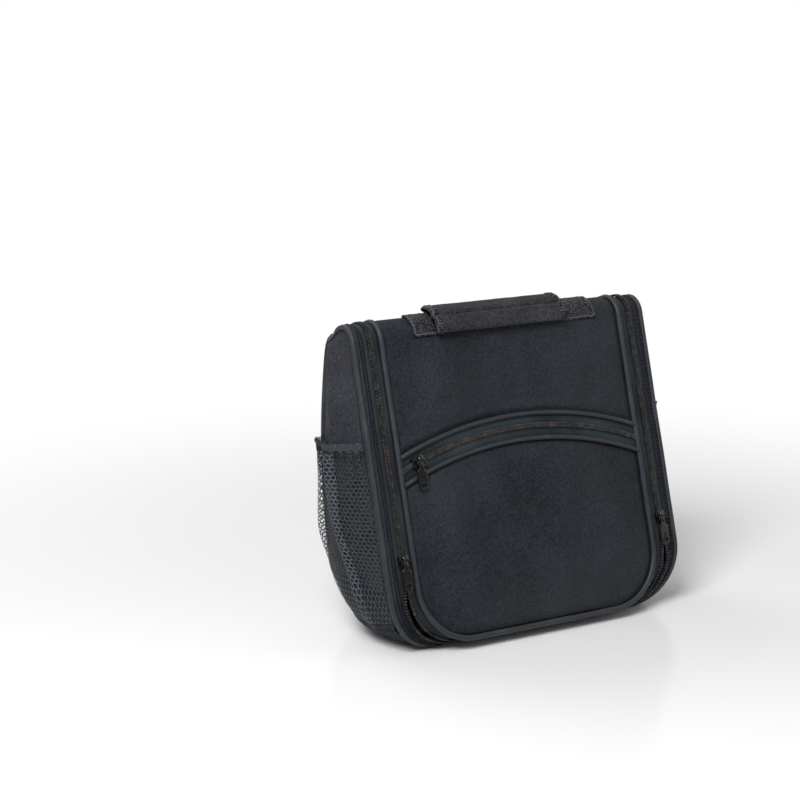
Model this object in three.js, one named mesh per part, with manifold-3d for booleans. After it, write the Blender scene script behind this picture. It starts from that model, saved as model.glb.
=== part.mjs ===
import * as THREE from 'three';
import { mergeVertices } from 'three/addons/utils/BufferGeometryUtils.js';
import Module from 'manifold-3d';

// Hanging wash bag, closed and standing on its base.
// Millimetres, +X to the right, -Y to the front, +Z up.

const wasm = await Module();
wasm.setup();

const { degToRad: degrees, lerp: mix, smoothstep } = THREE.MathUtils;
const quarterTurn = Math.PI / 2;
const halfTurn = Math.PI;

// Outline of the flap, along the middle of its piping, in the leaning front plane
const flapLean = degrees(17);
const flapHalfWidth = 103;
const flapHeight = 218;
const flapCornerRadius = 42;
const flapFootHeight = 9.5;
const footCurl = degrees(88);

// Fold over the top, and the flat stretch behind it
const foldRadius = 14;
const topSlope = degrees(20);
const topLength = 25.5;
const hingeGap = 0.5;

// Outline of the back panel, along the middle of its piping
const backHalfWidth = 121;
const backCornerRadius = 45;
const backFootHeight = 9;
const backHeight = 215;
const backClearance = 1.2;

// Cloth and clearances
const sewnGap = 0.4;
const panelThickness = 2.6;
const wallThickness = 2.5;
const liningThickness = 1.2;
const clearSheetThickness = 0.6;
const pipingRadius = 2.2;
const sideBulge = 12;
const sideBulgeAtTop = 3;
const baseSag = 9;

// Main zip: middle line of the two coil rows, beside the flap piping
const zipOffset = 9;
const rowHalfGap = 0.7;
const rowWidth = 1.9;
const rowHeight = 1.6;
const tapeThickness = 0.9;
const bodyTapeWidth = 3.8;
const rimStripWidth = 5;
const sidePipingRadius = 2;

// Front pocket: arched zip across the flap
const archRadius = 270;
const archApex = 143.5;
const archHalfBand = 9.2;
const archPipingRadius = 1.6;
const archTapeHalfWidth = 7.2;
const archCoilHalfWidth = 2.6;

// Linings, counted inwards from the front plane
const pocketLiningDepth = 3;
const flapLiningDepth = 5;
const innerWallDepth = 24;
const innerWallHeight = 112;
const innerWallFoot = 7;
const innerWallHalfWidth = 116;
const innerZipMargin = 3;
const innerPocketHeight = 74;
const innerPocketFoot = 14;
const innerPocketHalfWidth = 88;
const bindingThickness = 2;
const bindingWidth = 9;

// Zips on the linings
const liningZipHalfLength = 92;
const liningZipWidth = 13;
const edgeZipHeight = 37;
const middleZipHeight = 178;
const innerZipHeight = 99;
const liningSliderAtShare = -0.85;

// Clear pocket sheets
const clearPocketHalfWidth = 90;
const flapClearPocketLow = 190;
const flapClearPocketHigh = 213;
const backPocketHeight = 64;
const backLiningInset = 14;

// Mesh side pockets, as shares of the side panel's height and depth
const pocketTopShare = 0.6;
const pocketFootShare = 0.03;
const pocketFrontShare = 0.16;
const pocketRearShare = 0.9;
const pocketStandOff = 8;
const pocketMeshThickness = 1;
const elasticWidth = 9;

// Sliders and pulls
const plateLength = 10.5;
const plateWidth = 8.6;
const plateThickness = 1.1;
const postWidth = 0.8;
const earThickness = 1;
const earInner = 2.6;
const barrelRadius = 1;
const barrelHalfLength = 2.3;
const pullThickness = 1.2;
const pullLength = 21;
const pullHalfWidth = 3.8;
const pullNeckHalfWidth = 2.1;
const pullNeckLength = 4.5;
const pullHoleRadius = 1.9;
const runningGap = 0.4;
const mainSliderHeight = 61;
const pocketSliderX = -88;

// Hook with its strap and patch
const patchHalfWidth = 17;
const patchLow = 8;
const patchHigh = 48;
const strapHalfWidth = 11;
const hookBarHeight = 62;
const hookDepth = 9;
const wireRadius = 1.3;
const loopWall = 1.1;
const ringHalfWidth = 17;
const ringHeight = 15;
const shankLength = 8;
const hookBend = 12;

// Carrying handle, lying round the fold: webbing sewn down at both ends, and a padded sleeve
const webbingWidth = 25;
const webbingThickness = 2;
const webbingHalfSpan = 79;
const webbingCentreX = 2;
const webbingTurn = degrees(48);
const sleeveHalfLength = 56;
const sleeveCentreX = -4;
const sleeveWidth = 28;
const sleeveThickness = 6.4;
const sleeveEdgeShare = 0.45;
const sleeveTurn = degrees(44);
const sleeveStandOff = 0.8;

// Grid steps of the sewn shapes
const bottomSteps = 3;
const cornerSteps = 8;
const sideSteps = 4;
const foldSteps = 6;
const flatSteps = 2;
const depthSteps = 8;
const tubeSides = 6;
const curveSteps = 10;

const cloth = finish(0x24272c, 0.85);
const sideCloth = finish(0x3c3c3d, 0.88);
const tapeCloth = finish(0x23292b, 0.8);
const coilNylon = finish(0x1c1a18, 0.45);
const bindingCloth = finish(0x18191c, 0.5);
const liningCloth = finish(0x121316, 0.4);
const meshCloth = finish(0x1b1c1e, 0.8);
const clearSheet = finish(0x9aa0a6, 0.08);
const blackMetal = finish(0x0e0e10, 0.3, 0.5);
const hookMetal = finish(0x55504a, 0.25, 1);
const webbingCloth = finish(0x1a1b1d, 0.9);

function finish(color, roughness, metalness = 0) {
  return new THREE.MeshStandardMaterial({ color, roughness, metalness });
}

/** Six times the volume inside a closed indexed geometry, negative where its faces point in. */
function signedVolume(geometry) {
  const spot = geometry.attributes.position;
  const corners = [new THREE.Vector3(), new THREE.Vector3(), new THREE.Vector3()];
  let sum = 0;
  for (let i = 0; i < geometry.index.count; i += 3) {
    corners.forEach((corner, k) => corner.fromBufferAttribute(spot, geometry.index.getX(i + k)));
    sum += corners[0].dot(corners[1].clone().cross(corners[2]));
  }
  return sum;
}

/** Merges a geometry's shared corners and turns its faces outwards. */
function closed(geometry) {
  geometry.deleteAttribute('normal');
  geometry.deleteAttribute('uv');
  const body = mergeVertices(geometry);
  if (signedVolume(body) < 0) {
    for (let i = 0; i < body.index.count; i += 3) {
      const first = body.index.getX(i);
      body.index.setX(i, body.index.getX(i + 1));
      body.index.setX(i + 1, first);
    }
  }
  body.computeVertexNormals();
  return body;
}

/** Closed body from a block's grid, each point moved to place(u, v, w), all three from 0 to 1. */
function moulded(stepsU, stepsV, place, stepsW = 1) {
  const block = new THREE.BoxGeometry(1, 1, 1, stepsU, stepsV, stepsW);
  const spot = block.attributes.position;
  const share = (value, steps) => Math.round((value + 0.5) * steps) / steps;
  for (let i = 0; i < spot.count; i += 1) {
    const u = share(spot.getX(i), stepsU);
    const v = share(spot.getY(i), stepsV);
    const w = share(spot.getZ(i), stepsW);
    const point = place(u, v, w);
    spot.setXYZ(i, point.x, point.y, point.z);
  }
  return closed(block);
}

function toManifold(geometry) {
  return new wasm.Manifold(new wasm.Mesh({
    numProp: 3,
    vertProperties: new Float32Array(geometry.attributes.position.array),
    triVerts: new Uint32Array(geometry.index.array),
  }));
}

/** One body from several that overlap, less the cutters. */
function joined(bodies, cutters = []) {
  let solid = toManifold(closed(bodies[0]));
  bodies.slice(1).forEach((body) => { solid = solid.add(toManifold(closed(body))); });
  cutters.forEach((cutter) => { solid = solid.subtract(toManifold(closed(cutter))); });
  const mesh = solid.getMesh();
  const geometry = new THREE.BufferGeometry();
  geometry.setAttribute('position', new THREE.BufferAttribute(mesh.vertProperties, 3));
  geometry.setIndex(new THREE.BufferAttribute(mesh.triVerts, 1));
  geometry.computeVertexNormals();
  return geometry;
}

/** A flat outline made into a slab between two heights. */
function slab(outline, low, high) {
  const options = { depth: high - low, bevelEnabled: false, curveSegments: curveSteps };
  return new THREE.ExtrudeGeometry(outline, options).translate(0, 0, low);
}

/** Line through given points, one tube ring at each of them. */
class SewnLine extends THREE.Curve {
  constructor(points) {
    super();
    this.points = points;
  }

  getPoint(t, target = new THREE.Vector3()) {
    const place = t * (this.points.length - 1);
    const index = Math.min(Math.max(Math.floor(place), 0), this.points.length - 2);
    return target.copy(this.points[index]).lerp(this.points[index + 1], place - index);
  }

  getUtoTmapping(u) {
    return u;
  }
}

function tube(points, radius, sides = tubeSides) {
  const section = new THREE.Shape();
  for (let i = 0; i < sides; i += 1) {
    const turn = (2 * halfTurn * i) / sides;
    const x = radius * Math.cos(turn);
    const y = radius * Math.sin(turn);
    if (i === 0) section.moveTo(x, y);
    else section.lineTo(x, y);
  }
  section.closePath();
  const options = { steps: points.length - 1, bevelEnabled: false, extrudePath: new SewnLine(points) };
  return new THREE.ExtrudeGeometry(section, options);
}

// Directions in the leaning front plane and behind the fold
const planeUp = new THREE.Vector3(0, Math.sin(flapLean), Math.cos(flapLean));
const planeOut = new THREE.Vector3(0, -Math.cos(flapLean), Math.sin(flapLean));
const foldTurn = quarterTurn - flapLean + topSlope;
const topOut = normalAt(foldTurn);
const topBack = new THREE.Vector3(0, Math.cos(topSlope), -Math.sin(topSlope));
const foldCentre = onPlane(0, flapHeight, -foldRadius);
const topRear = foldCentre.clone().addScaledVector(topOut, foldRadius).addScaledVector(topBack, topLength);
const backY = topRear.y + backClearance;

function onPlane(x, up, out) {
  return new THREE.Vector3(x, 0, flapFootHeight).addScaledVector(planeUp, up).addScaledVector(planeOut, out);
}

function normalAt(turn) {
  return new THREE.Vector3(0, -Math.cos(flapLean + turn), Math.sin(flapLean + turn));
}

/** A place on the bag's front seam, and the matching place on its rear seam. */
function seamPlace(part, foot, side, normal, curl, rear, rearSide, fullness) {
  const out = side.clone().multiplyScalar(Math.cos(curl)).addScaledVector(normal, -Math.sin(curl));
  const rise = side.clone().multiplyScalar(Math.sin(curl)).addScaledVector(normal, Math.cos(curl));
  return { part, foot, side, normal, out, rise, rear, rearSide, fullness };
}

/** Half of the seam, from the middle of the base round a corner, up a side and over the fold. */
function halfSeam(hand) {
  const places = [];
  const cornerX = flapHalfWidth - flapCornerRadius;
  const rearCornerX = backHalfWidth - backCornerRadius;
  const rearCornerZ = backFootHeight + backCornerRadius;
  const down = planeUp.clone().negate();
  const outward = new THREE.Vector3(hand, 0, 0);
  for (let i = 0; i < bottomSteps; i += 1) {
    const share = i / bottomSteps;
    const rear = new THREE.Vector3(hand * share * rearCornerX, backY, backFootHeight);
    const rearSide = new THREE.Vector3(0, 0, -1);
    const foot = onPlane(hand * share * cornerX, 0, 0);
    places.push(seamPlace('flap', foot, down, planeOut, footCurl, rear, rearSide, baseSag));
  }
  for (let i = 0; i <= cornerSteps; i += 1) {
    const share = i / cornerSteps;
    const turn = share * quarterTurn;
    const side = outward.clone().multiplyScalar(Math.sin(turn)).addScaledVector(down, Math.cos(turn));
    const foot = onPlane(hand * cornerX, flapCornerRadius, 0).addScaledVector(side, flapCornerRadius);
    const rearSide = new THREE.Vector3(hand * Math.sin(turn), 0, -Math.cos(turn));
    const rear = new THREE.Vector3(hand * rearCornerX, backY, rearCornerZ);
    rear.addScaledVector(rearSide, backCornerRadius);
    const curl = footCurl * (1 - smoothstep(share, 0, 1));
    places.push(seamPlace('flap', foot, side, planeOut, curl, rear, rearSide, mix(baseSag, sideBulge, share)));
  }
  const sideEnd = flapHeight - hingeGap;
  const foldLength = foldRadius * foldTurn;
  const climb = flapHeight - flapCornerRadius + foldLength + topLength;
  const rearAt = (length) => {
    const share = length / climb;
    return {
      rear: new THREE.Vector3(hand * backHalfWidth, backY, mix(rearCornerZ, backHeight, share)),
      full: mix(sideBulge, sideBulgeAtTop, share ** 2),
    };
  };
  for (let i = 1; i <= sideSteps; i += 1) {
    const up = mix(flapCornerRadius, sideEnd, i / sideSteps);
    const { rear, full } = rearAt(up - flapCornerRadius);
    places.push(seamPlace('flap', onPlane(hand * flapHalfWidth, up, 0), outward, planeOut, 0, rear, outward, full));
  }
  for (let i = 0; i <= foldSteps; i += 1) {
    const turn = (foldTurn * i) / foldSteps;
    const normal = normalAt(turn);
    const foot = foldCentre.clone().addScaledVector(normal, foldRadius).setX(hand * flapHalfWidth);
    const { rear, full } = rearAt(flapHeight - flapCornerRadius + foldRadius * turn);
    places.push(seamPlace('top', foot, outward, normal, 0, rear, outward, full));
  }
  for (let i = 1; i <= flatSteps; i += 1) {
    const back = (topLength * i) / flatSteps;
    const foot = topRear.clone().addScaledVector(topBack, back - topLength).setX(hand * flapHalfWidth);
    const { rear, full } = rearAt(flapHeight - flapCornerRadius + foldLength + back);
    places.push(seamPlace('top', foot, outward, topOut, 0, rear, outward, full));
  }
  return places;
}

const leftHalf = halfSeam(-1);
const rightHalf = halfSeam(1);
const wholeSeam = [...leftHalf.slice(1).reverse(), ...rightHalf];
const onPart = (places, part) => places.filter((place) => place.part === part);
const flapSeam = onPart(wholeSeam, 'flap');
const topSeams = { left: onPart(leftHalf, 'top'), right: onPart(rightHalf, 'top') };

/** Point beside the seam: out across the cloth, and up from its face. */
function beside(place, out, rise) {
  return place.foot.clone().addScaledVector(place.out, out).addScaledVector(place.rise, rise);
}

/** Strip of cloth along the seam. */
function strip(places, outFrom, outTo, low, high) {
  return moulded(places.length - 1, 1, (u, v, w) => {
    const place = places[Math.round(u * (places.length - 1))];
    return beside(place, mix(outFrom, outTo, v), mix(low, high, w));
  });
}

function piping(places, out, rise, radius) {
  return tube(places.map((place) => beside(place, out, rise)), radius);
}

// Places across the main zip, counted outwards from the flap piping
const rowNear = zipOffset - rowHalfGap - rowWidth;
const tapeEdge = rowHalfGap + 0.5 * sewnGap;
const flapTapeStart = pipingRadius + sewnGap;
const bodyTapeEnd = zipOffset + tapeEdge + bodyTapeWidth;
const rimStart = bodyTapeEnd + sewnGap;
const rimEnd = rimStart + rimStripWidth;
const sidePipingOffset = rimEnd + sewnGap + sidePipingRadius;
const rowLow = sewnGap;
const rowHigh = rowLow + rowHeight;
const panelRise = 1.3;

/** Point of the gusset between the side piping and the back panel. */
function gussetPoint(place, depth, wall, standOff = 0) {
  const start = beside(place, sidePipingOffset, -0.5 * sidePipingRadius);
  start.addScaledVector(place.normal, -(sidePipingRadius + sewnGap));
  start.addScaledVector(place.side, 0.5 * sidePipingRadius - wall);
  const end = place.rear.clone().addScaledVector(place.rearSide, 0.5 * sidePipingRadius - wall);
  end.y -= pipingRadius + sewnGap;
  const point = start.lerp(end, depth);
  point.addScaledVector(place.rearSide, (place.fullness + standOff) * Math.sin(halfTurn * depth));
  point.z = Math.max(point.z, wall);
  return point;
}

function gusset(places, wall = wallThickness) {
  return moulded(places.length - 1, depthSteps, (u, v, w) => (
    gussetPoint(places[Math.round(u * (places.length - 1))], v, w * wall)
  ));
}

/** The seam place at a share of a list of places, worked out between two neighbours. */
function between(places, share) {
  const at = share * (places.length - 1);
  const index = Math.min(Math.floor(at), places.length - 2);
  const a = places[index];
  const b = places[index + 1];
  const step = at - index;
  const blend = (key) => a[key].clone().lerp(b[key], step);
  return {
    foot: blend('foot'),
    side: a.side,
    normal: blend('normal').normalize(),
    out: blend('out'),
    rise: blend('rise'),
    rear: blend('rear'),
    rearSide: a.rearSide,
    fullness: mix(a.fullness, b.fullness, step),
  };
}

/** Sheet that stands off a side panel: flush at its borders and fuller in the middle. */
function sidePocketSheet(places, lowShare, highShare, stepsUp, thickness) {
  const middle = 0.5 * (pocketTopShare + pocketFootShare);
  return moulded(stepsUp, depthSteps, (u, v, w) => {
    const up = mix(lowShare, highShare, u);
    const depth = mix(pocketFrontShare, pocketRearShare, v);
    const across = Math.sin(halfTurn * v) ** 0.5;
    const rising = smoothstep(up, pocketFootShare, middle);
    const stand = sewnGap + pocketStandOff * across * rising;
    const point = gussetPoint(between(places, up), depth, 0);
    point.x += Math.sign(point.x) * (stand + w * thickness);
    return point;
  });
}

const bag = new THREE.Group();
const flapPlane = new THREE.Group();
flapPlane.rotation.x = quarterTurn - flapLean;
flapPlane.position.z = flapFootHeight;
bag.add(flapPlane);

function add(group, name, geometry, material) {
  const mesh = new THREE.Mesh(closed(geometry), material);
  mesh.name = name;
  group.add(mesh);
  return mesh;
}

// Outline with the flap's rounded lower corners, a given distance inside its piping
function flapOutline(inset, low, high) {
  const outline = new THREE.Shape();
  const half = flapHalfWidth - inset;
  const radius = flapCornerRadius - inset;
  const centreX = half - radius;
  outline.moveTo(-half, high);
  outline.lineTo(-half, low + radius);
  outline.absarc(-centreX, low + radius, radius, halfTurn, 1.5 * halfTurn, false);
  outline.lineTo(centreX, low);
  outline.absarc(centreX, low + radius, radius, -quarterTurn, 0, false);
  outline.lineTo(half, high);
  outline.closePath();
  return outline;
}

// Body: panels, gusset, piping and the fixed half of the main zip
const sideOnly = (half) => half.slice(bottomSteps + cornerSteps);
const baseSteps = bottomSteps + cornerSteps;
const baseSeam = wholeSeam.slice(leftHalf.length - 1 - baseSteps, leftHalf.length + baseSteps);

function buildBody() {
  const leftSide = sideOnly(leftHalf);
  const rightSide = sideOnly(rightHalf);
  add(bag, 'base_panel', gusset(baseSeam), cloth);
  [['left', leftSide], ['right', rightSide]].forEach(([hand, places]) => {
    const lifted = [liftedPlace(places[0], places[1]), ...places.slice(1)];
    add(bag, `${hand}_side_panel`, gusset(lifted), sideCloth);
    const wall = lifted.slice(0, sideSteps + 1);
    const wallHeight = flapHeight - flapCornerRadius;
    const net = sidePocketSheet(wall, pocketFootShare, pocketTopShare, depthSteps, pocketMeshThickness);
    add(bag, `${hand}_mesh_pocket`, net, meshCloth);
    const bandLow = pocketTopShare + sewnGap / wallHeight;
    const bandHigh = bandLow + elasticWidth / wallHeight;
    const band = sidePocketSheet(wall, bandLow, bandHigh, 1, 2 * pocketMeshThickness);
    add(bag, `${hand}_pocket_elastic`, band, bindingCloth);
  });

  const backOutline = new THREE.Shape();
  const half = backHalfWidth - pipingRadius - sewnGap;
  const radius = backCornerRadius - pipingRadius - sewnGap;
  const foot = backFootHeight + backCornerRadius;
  const cornerX = backHalfWidth - backCornerRadius;
  backOutline.moveTo(-half, backHeight);
  backOutline.lineTo(-half, foot);
  backOutline.absarc(-cornerX, foot, radius, halfTurn, 1.5 * halfTurn, false);
  backOutline.lineTo(cornerX, foot - radius);
  backOutline.absarc(cornerX, foot, radius, -quarterTurn, 0, false);
  backOutline.lineTo(half, backHeight);
  backOutline.closePath();
  const upright = (geometry, rearFace) => geometry.rotateX(quarterTurn).translate(0, rearFace, 0);
  const rearFace = backY + 0.5 * panelThickness;
  add(bag, 'back_panel', upright(slab(backOutline, 0, panelThickness), rearFace), cloth);
  add(bag, 'rear_piping', tube(wholeSeam.map((place) => place.rear), pipingRadius), bindingCloth);

  const liningHalf = half - backLiningInset;
  const liningOutline = new THREE.Shape();
  liningOutline.moveTo(-liningHalf, backHeight - 2 * panelThickness);
  liningOutline.lineTo(-liningHalf, foot);
  liningOutline.lineTo(-cornerX, foot - radius + backLiningInset);
  liningOutline.lineTo(cornerX, foot - radius + backLiningInset);
  liningOutline.lineTo(liningHalf, foot);
  liningOutline.lineTo(liningHalf, backHeight - 2 * panelThickness);
  liningOutline.closePath();
  const liningRear = rearFace - panelThickness - sewnGap;
  add(bag, 'back_lining', upright(slab(liningOutline, 0, liningThickness), liningRear), liningCloth);
  const pocketTop = backHeight - 2 * panelThickness - 2 * liningThickness;
  const pocketSheet = new THREE.BoxGeometry(2 * clearPocketHalfWidth, clearSheetThickness, backPocketHeight);
  const pocketY = liningRear - liningThickness - sewnGap - 0.5 * clearSheetThickness;
  pocketSheet.translate(0, pocketY, pocketTop - 0.5 * backPocketHeight);
  add(bag, 'back_clear_pocket', pocketSheet, clearSheet);

  const bodyTapeStart = zipOffset + tapeEdge;
  const bodyRowStart = zipOffset + rowHalfGap;
  add(bag, 'body_zip_tape', strip(wholeSeam, bodyTapeStart, bodyTapeEnd, -tapeThickness, 0), tapeCloth);
  add(bag, 'body_zip_coil', strip(wholeSeam, bodyRowStart, bodyRowStart + rowWidth, rowLow, rowHigh), coilNylon);
  add(bag, 'rim_strip', strip(wholeSeam, rimStart, rimEnd, -tapeThickness, 0), sideCloth);
  const sidePiping = piping(wholeSeam, sidePipingOffset, -0.5 * sidePipingRadius, sidePipingRadius);
  add(bag, 'side_piping', sidePiping, bindingCloth);
}

/** The first seam place of a side panel, lifted off the base by a sewn gap. */
function liftedPlace(first, next) {
  const share = sewnGap / first.rear.distanceTo(next.rear);
  return { ...first, foot: first.foot.clone().lerp(next.foot, share), rear: first.rear.clone().lerp(next.rear, share) };
}

// Inner front wall, dished back from the rim, with its bound edge, zip and mesh pocket
function innerWallPoint(x, up, depth) {
  const edge = smoothstep(Math.abs(x), liningZipHalfLength + innerZipMargin, innerWallHalfWidth);
  const rimDepth = tapeThickness + 2 * sewnGap + liningThickness;
  return onPlane(x, up, -mix(innerWallDepth, rimDepth, edge) - depth);
}

function wallFootAt(x) {
  const radius = innerWallHalfWidth - flapHalfWidth + flapCornerRadius;
  const over = Math.max(Math.abs(x) - (flapHalfWidth - flapCornerRadius), 0);
  return Math.max(flapCornerRadius - Math.sqrt(Math.max(radius ** 2 - over ** 2, 0)), innerWallFoot);
}

function buildInnerWall() {
  const acrossSteps = 3 * depthSteps;
  const across = (u) => mix(-innerWallHalfWidth, innerWallHalfWidth, u);
  const bindingLow = innerWallHeight + sewnGap;
  add(bag, 'inner_front_wall', moulded(acrossSteps, 2, (u, v, w) => {
    const x = across(u);
    return innerWallPoint(x, mix(wallFootAt(x), innerWallHeight, v), w * liningThickness);
  }), liningCloth);
  add(bag, 'inner_wall_binding', moulded(acrossSteps, 1, (u, v, w) => (
    innerWallPoint(across(u), mix(bindingLow, bindingLow + bindingWidth, v), w * bindingThickness)
  )), bindingCloth);
  const pocket = new THREE.BoxGeometry(2 * innerPocketHalfWidth, innerPocketHeight, pocketMeshThickness);
  const pocketUp = innerPocketFoot + 0.5 * innerPocketHeight;
  pocket.translate(0, pocketUp, -innerWallDepth + sewnGap + 0.5 * pocketMeshThickness);
  add(flapPlane, 'inner_mesh_pocket', pocket, meshCloth);
}

/** Tape with a raised closed coil along X, standing on a lining. */
function liningZip(height, seat) {
  const tape = new THREE.BoxGeometry(2 * liningZipHalfLength, liningZipWidth, tapeThickness);
  tape.translate(0, height, seat + 0.5 * tapeThickness);
  const coil = new THREE.BoxGeometry(2 * liningZipHalfLength, 2 * archCoilHalfWidth, rowHeight + tapeThickness);
  coil.translate(0, height, seat + 0.5 * (rowHeight + tapeThickness));
  return joined([tape, coil]);
}

/** Plate with two skirts that ride over a closed coil along X, its base at the tape's face. */
function ridingSlider(coilTop) {
  const inner = archCoilHalfWidth + runningGap;
  const outer = inner + 1.5 * plateThickness;
  const roof = coilTop + runningGap;
  const section = new THREE.Shape();
  section.moveTo(-outer, runningGap);
  section.lineTo(-inner, runningGap);
  section.lineTo(-inner, roof);
  section.lineTo(inner, roof);
  section.lineTo(inner, runningGap);
  section.lineTo(outer, runningGap);
  section.lineTo(outer, roof + plateThickness);
  section.lineTo(-outer, roof + plateThickness);
  section.closePath();
  const body = new THREE.ExtrudeGeometry(section, { depth: plateLength, bevelEnabled: false });
  body.translate(0, 0, -0.5 * plateLength).rotateX(quarterTurn).rotateZ(quarterTurn);
  return { body, top: roof + plateThickness };
}

/** Two ears that hold a pull's barrel, its axis along X, over a plate at the given height. */
function ears(top, up) {
  const height = runningGap + 2 * barrelRadius;
  return [-1, 1].map((hand) => {
    const ear = new THREE.BoxGeometry(earThickness, 3 * barrelRadius, height + plateThickness);
    return ear.translate(hand * (earInner + 0.5 * earThickness), up, top + 0.5 * (height - plateThickness));
  });
}

/** Pull that hangs from its barrel at the origin towards -Y. */
function hangingPull(neck = 0) {
  const outline = new THREE.Shape();
  const shoulder = -neck - pullNeckLength - 0.5 * pullHalfWidth;
  const endCentre = -pullLength + pullHalfWidth;
  outline.moveTo(-pullNeckHalfWidth, 0);
  outline.lineTo(-pullNeckHalfWidth, -neck - pullNeckLength);
  outline.lineTo(-pullHalfWidth, shoulder);
  outline.absarc(0, endCentre, pullHalfWidth, halfTurn, 2 * halfTurn, false);
  outline.lineTo(pullHalfWidth, shoulder);
  outline.lineTo(pullNeckHalfWidth, -neck - pullNeckLength);
  outline.lineTo(pullNeckHalfWidth, 0);
  outline.closePath();
  const hole = new THREE.Path();
  hole.absarc(0, endCentre, pullHoleRadius, 0, 2 * halfTurn, true);
  outline.holes.push(hole);
  const plate = slab(outline, -0.5 * pullThickness, 0.5 * pullThickness);
  const barrel = new THREE.CylinderGeometry(barrelRadius, barrelRadius, 2 * barrelHalfLength, 2 * tubeSides);
  barrel.rotateZ(quarterTurn);
  return joined([plate, barrel]);
}

/** Slider with two plates and a post between the open coil rows, on a zip along Y. */
function straddlingSlider() {
  const topLow = rowHigh + runningGap;
  const topHigh = topLow + plateThickness;
  const bottomHigh = -tapeThickness - runningGap;
  const bottomLow = bottomHigh - plateThickness;
  const plate = (low, high) => new THREE.BoxGeometry(plateWidth, plateLength, high - low)
    .translate(0, 0, 0.5 * (low + high));
  const post = new THREE.BoxGeometry(postWidth, 0.5 * plateLength, topHigh - bottomLow)
    .translate(0, 0, 0.5 * (topHigh + bottomLow));
  const body = joined([plate(topLow, topHigh), plate(bottomLow, bottomHigh), post, ...ears(topHigh, 0)]);
  return { body, axis: topHigh + runningGap + barrelRadius };
}

function buildMainSliders() {
  [['left', -1], ['right', 1]].forEach(([hand, sign]) => {
    const { body, axis } = straddlingSlider();
    const x = sign * (flapHalfWidth + zipOffset);
    add(flapPlane, `${hand}_zip_slider`, body, blackMetal).position.set(x, mainSliderHeight, 0);
    add(flapPlane, `${hand}_zip_pull`, hangingPull(), blackMetal).position.set(x, mainSliderHeight, axis);
  });
}

/** Slider with a stud on a lining zip, and a flat pull that swings round the stud. */
function buildLiningSlider(name, height, seat, facing) {
  const { body, top } = ridingSlider(rowHeight);
  const studHeight = pullThickness + 2 * runningGap;
  const stud = new THREE.CylinderGeometry(barrelRadius, barrelRadius, studHeight + plateThickness, 2 * tubeSides);
  stud.rotateX(quarterTurn).translate(0, 0, top + 0.5 * (studHeight - plateThickness));
  const holder = new THREE.Group();
  holder.position.set(liningSliderAtShare * liningZipHalfLength, height, seat + facing * tapeThickness);
  if (facing < 0) holder.rotation.y = halfTurn;
  flapPlane.add(holder);
  add(holder, `${name}_slider`, joined([body, stud]), blackMetal);
  const eye = new THREE.Shape();
  const eyeRadius = 2 * barrelRadius + runningGap;
  const endCentre = -pullLength + pullHalfWidth;
  eye.absarc(0, 0, eyeRadius, 0, halfTurn, false);
  eye.lineTo(-pullHalfWidth, -pullNeckLength);
  eye.absarc(0, endCentre, pullHalfWidth, halfTurn, 2 * halfTurn, false);
  eye.lineTo(pullHalfWidth, -pullNeckLength);
  eye.closePath();
  [[0, barrelRadius + runningGap], [endCentre, pullHoleRadius]].forEach(([at, radius]) => {
    const hole = new THREE.Path();
    hole.absarc(0, at, radius, 0, 2 * halfTurn, true);
    eye.holes.push(hole);
  });
  add(holder, `${name}_pull`, slab(eye, top + runningGap, top + runningGap + pullThickness), blackMetal);
}

// Flap: outer panels with the arched zip between them, piping and linings
const archCentre = archApex - archRadius;
const upperEdge = archRadius + archHalfBand + archPipingRadius + sewnGap;
const lowerEdge = archRadius - archHalfBand - archPipingRadius - sewnGap;
const panelInset = pipingRadius + sewnGap;
const panelHalf = flapHalfWidth - panelInset;
const bandHalfAngle = Math.asin((panelHalf - sewnGap) / upperEdge);

function archBand(innerRadius, outerRadius, low, high) {
  const band = new THREE.Shape();
  band.absarc(0, archCentre, outerRadius, quarterTurn + bandHalfAngle, quarterTurn - bandHalfAngle, true);
  band.absarc(0, archCentre, innerRadius, quarterTurn - bandHalfAngle, quarterTurn + bandHalfAngle, false);
  band.closePath();
  return slab(band, low, high);
}

function archTube(radius) {
  const points = [];
  for (let i = 0; i <= 2 * curveSteps; i += 1) {
    const turn = quarterTurn + mix(bandHalfAngle, -bandHalfAngle, i / (2 * curveSteps));
    points.push(new THREE.Vector3(radius * Math.cos(turn), archCentre + radius * Math.sin(turn), archPipingRadius));
  }
  return tube(points, archPipingRadius);
}

/** Part of the flap's outline above or below the arch. */
function flapPanel(edgeRadius, above) {
  const edgeAngle = Math.asin(panelHalf / edgeRadius);
  const outline = new THREE.Shape();
  if (above) {
    outline.moveTo(panelHalf, flapHeight - hingeGap);
    outline.lineTo(-panelHalf, flapHeight - hingeGap);
    outline.absarc(0, archCentre, edgeRadius, quarterTurn + edgeAngle, quarterTurn - edgeAngle, true);
  } else {
    const radius = flapCornerRadius - panelInset;
    const cornerX = flapHalfWidth - flapCornerRadius;
    outline.absarc(0, archCentre, edgeRadius, quarterTurn - edgeAngle, quarterTurn + edgeAngle, false);
    outline.absarc(-cornerX, flapCornerRadius, radius, halfTurn, 1.5 * halfTurn, false);
    outline.absarc(cornerX, flapCornerRadius, radius, -quarterTurn, 0, false);
  }
  outline.closePath();
  return slab(outline, panelRise - panelThickness, panelRise);
}

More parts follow.
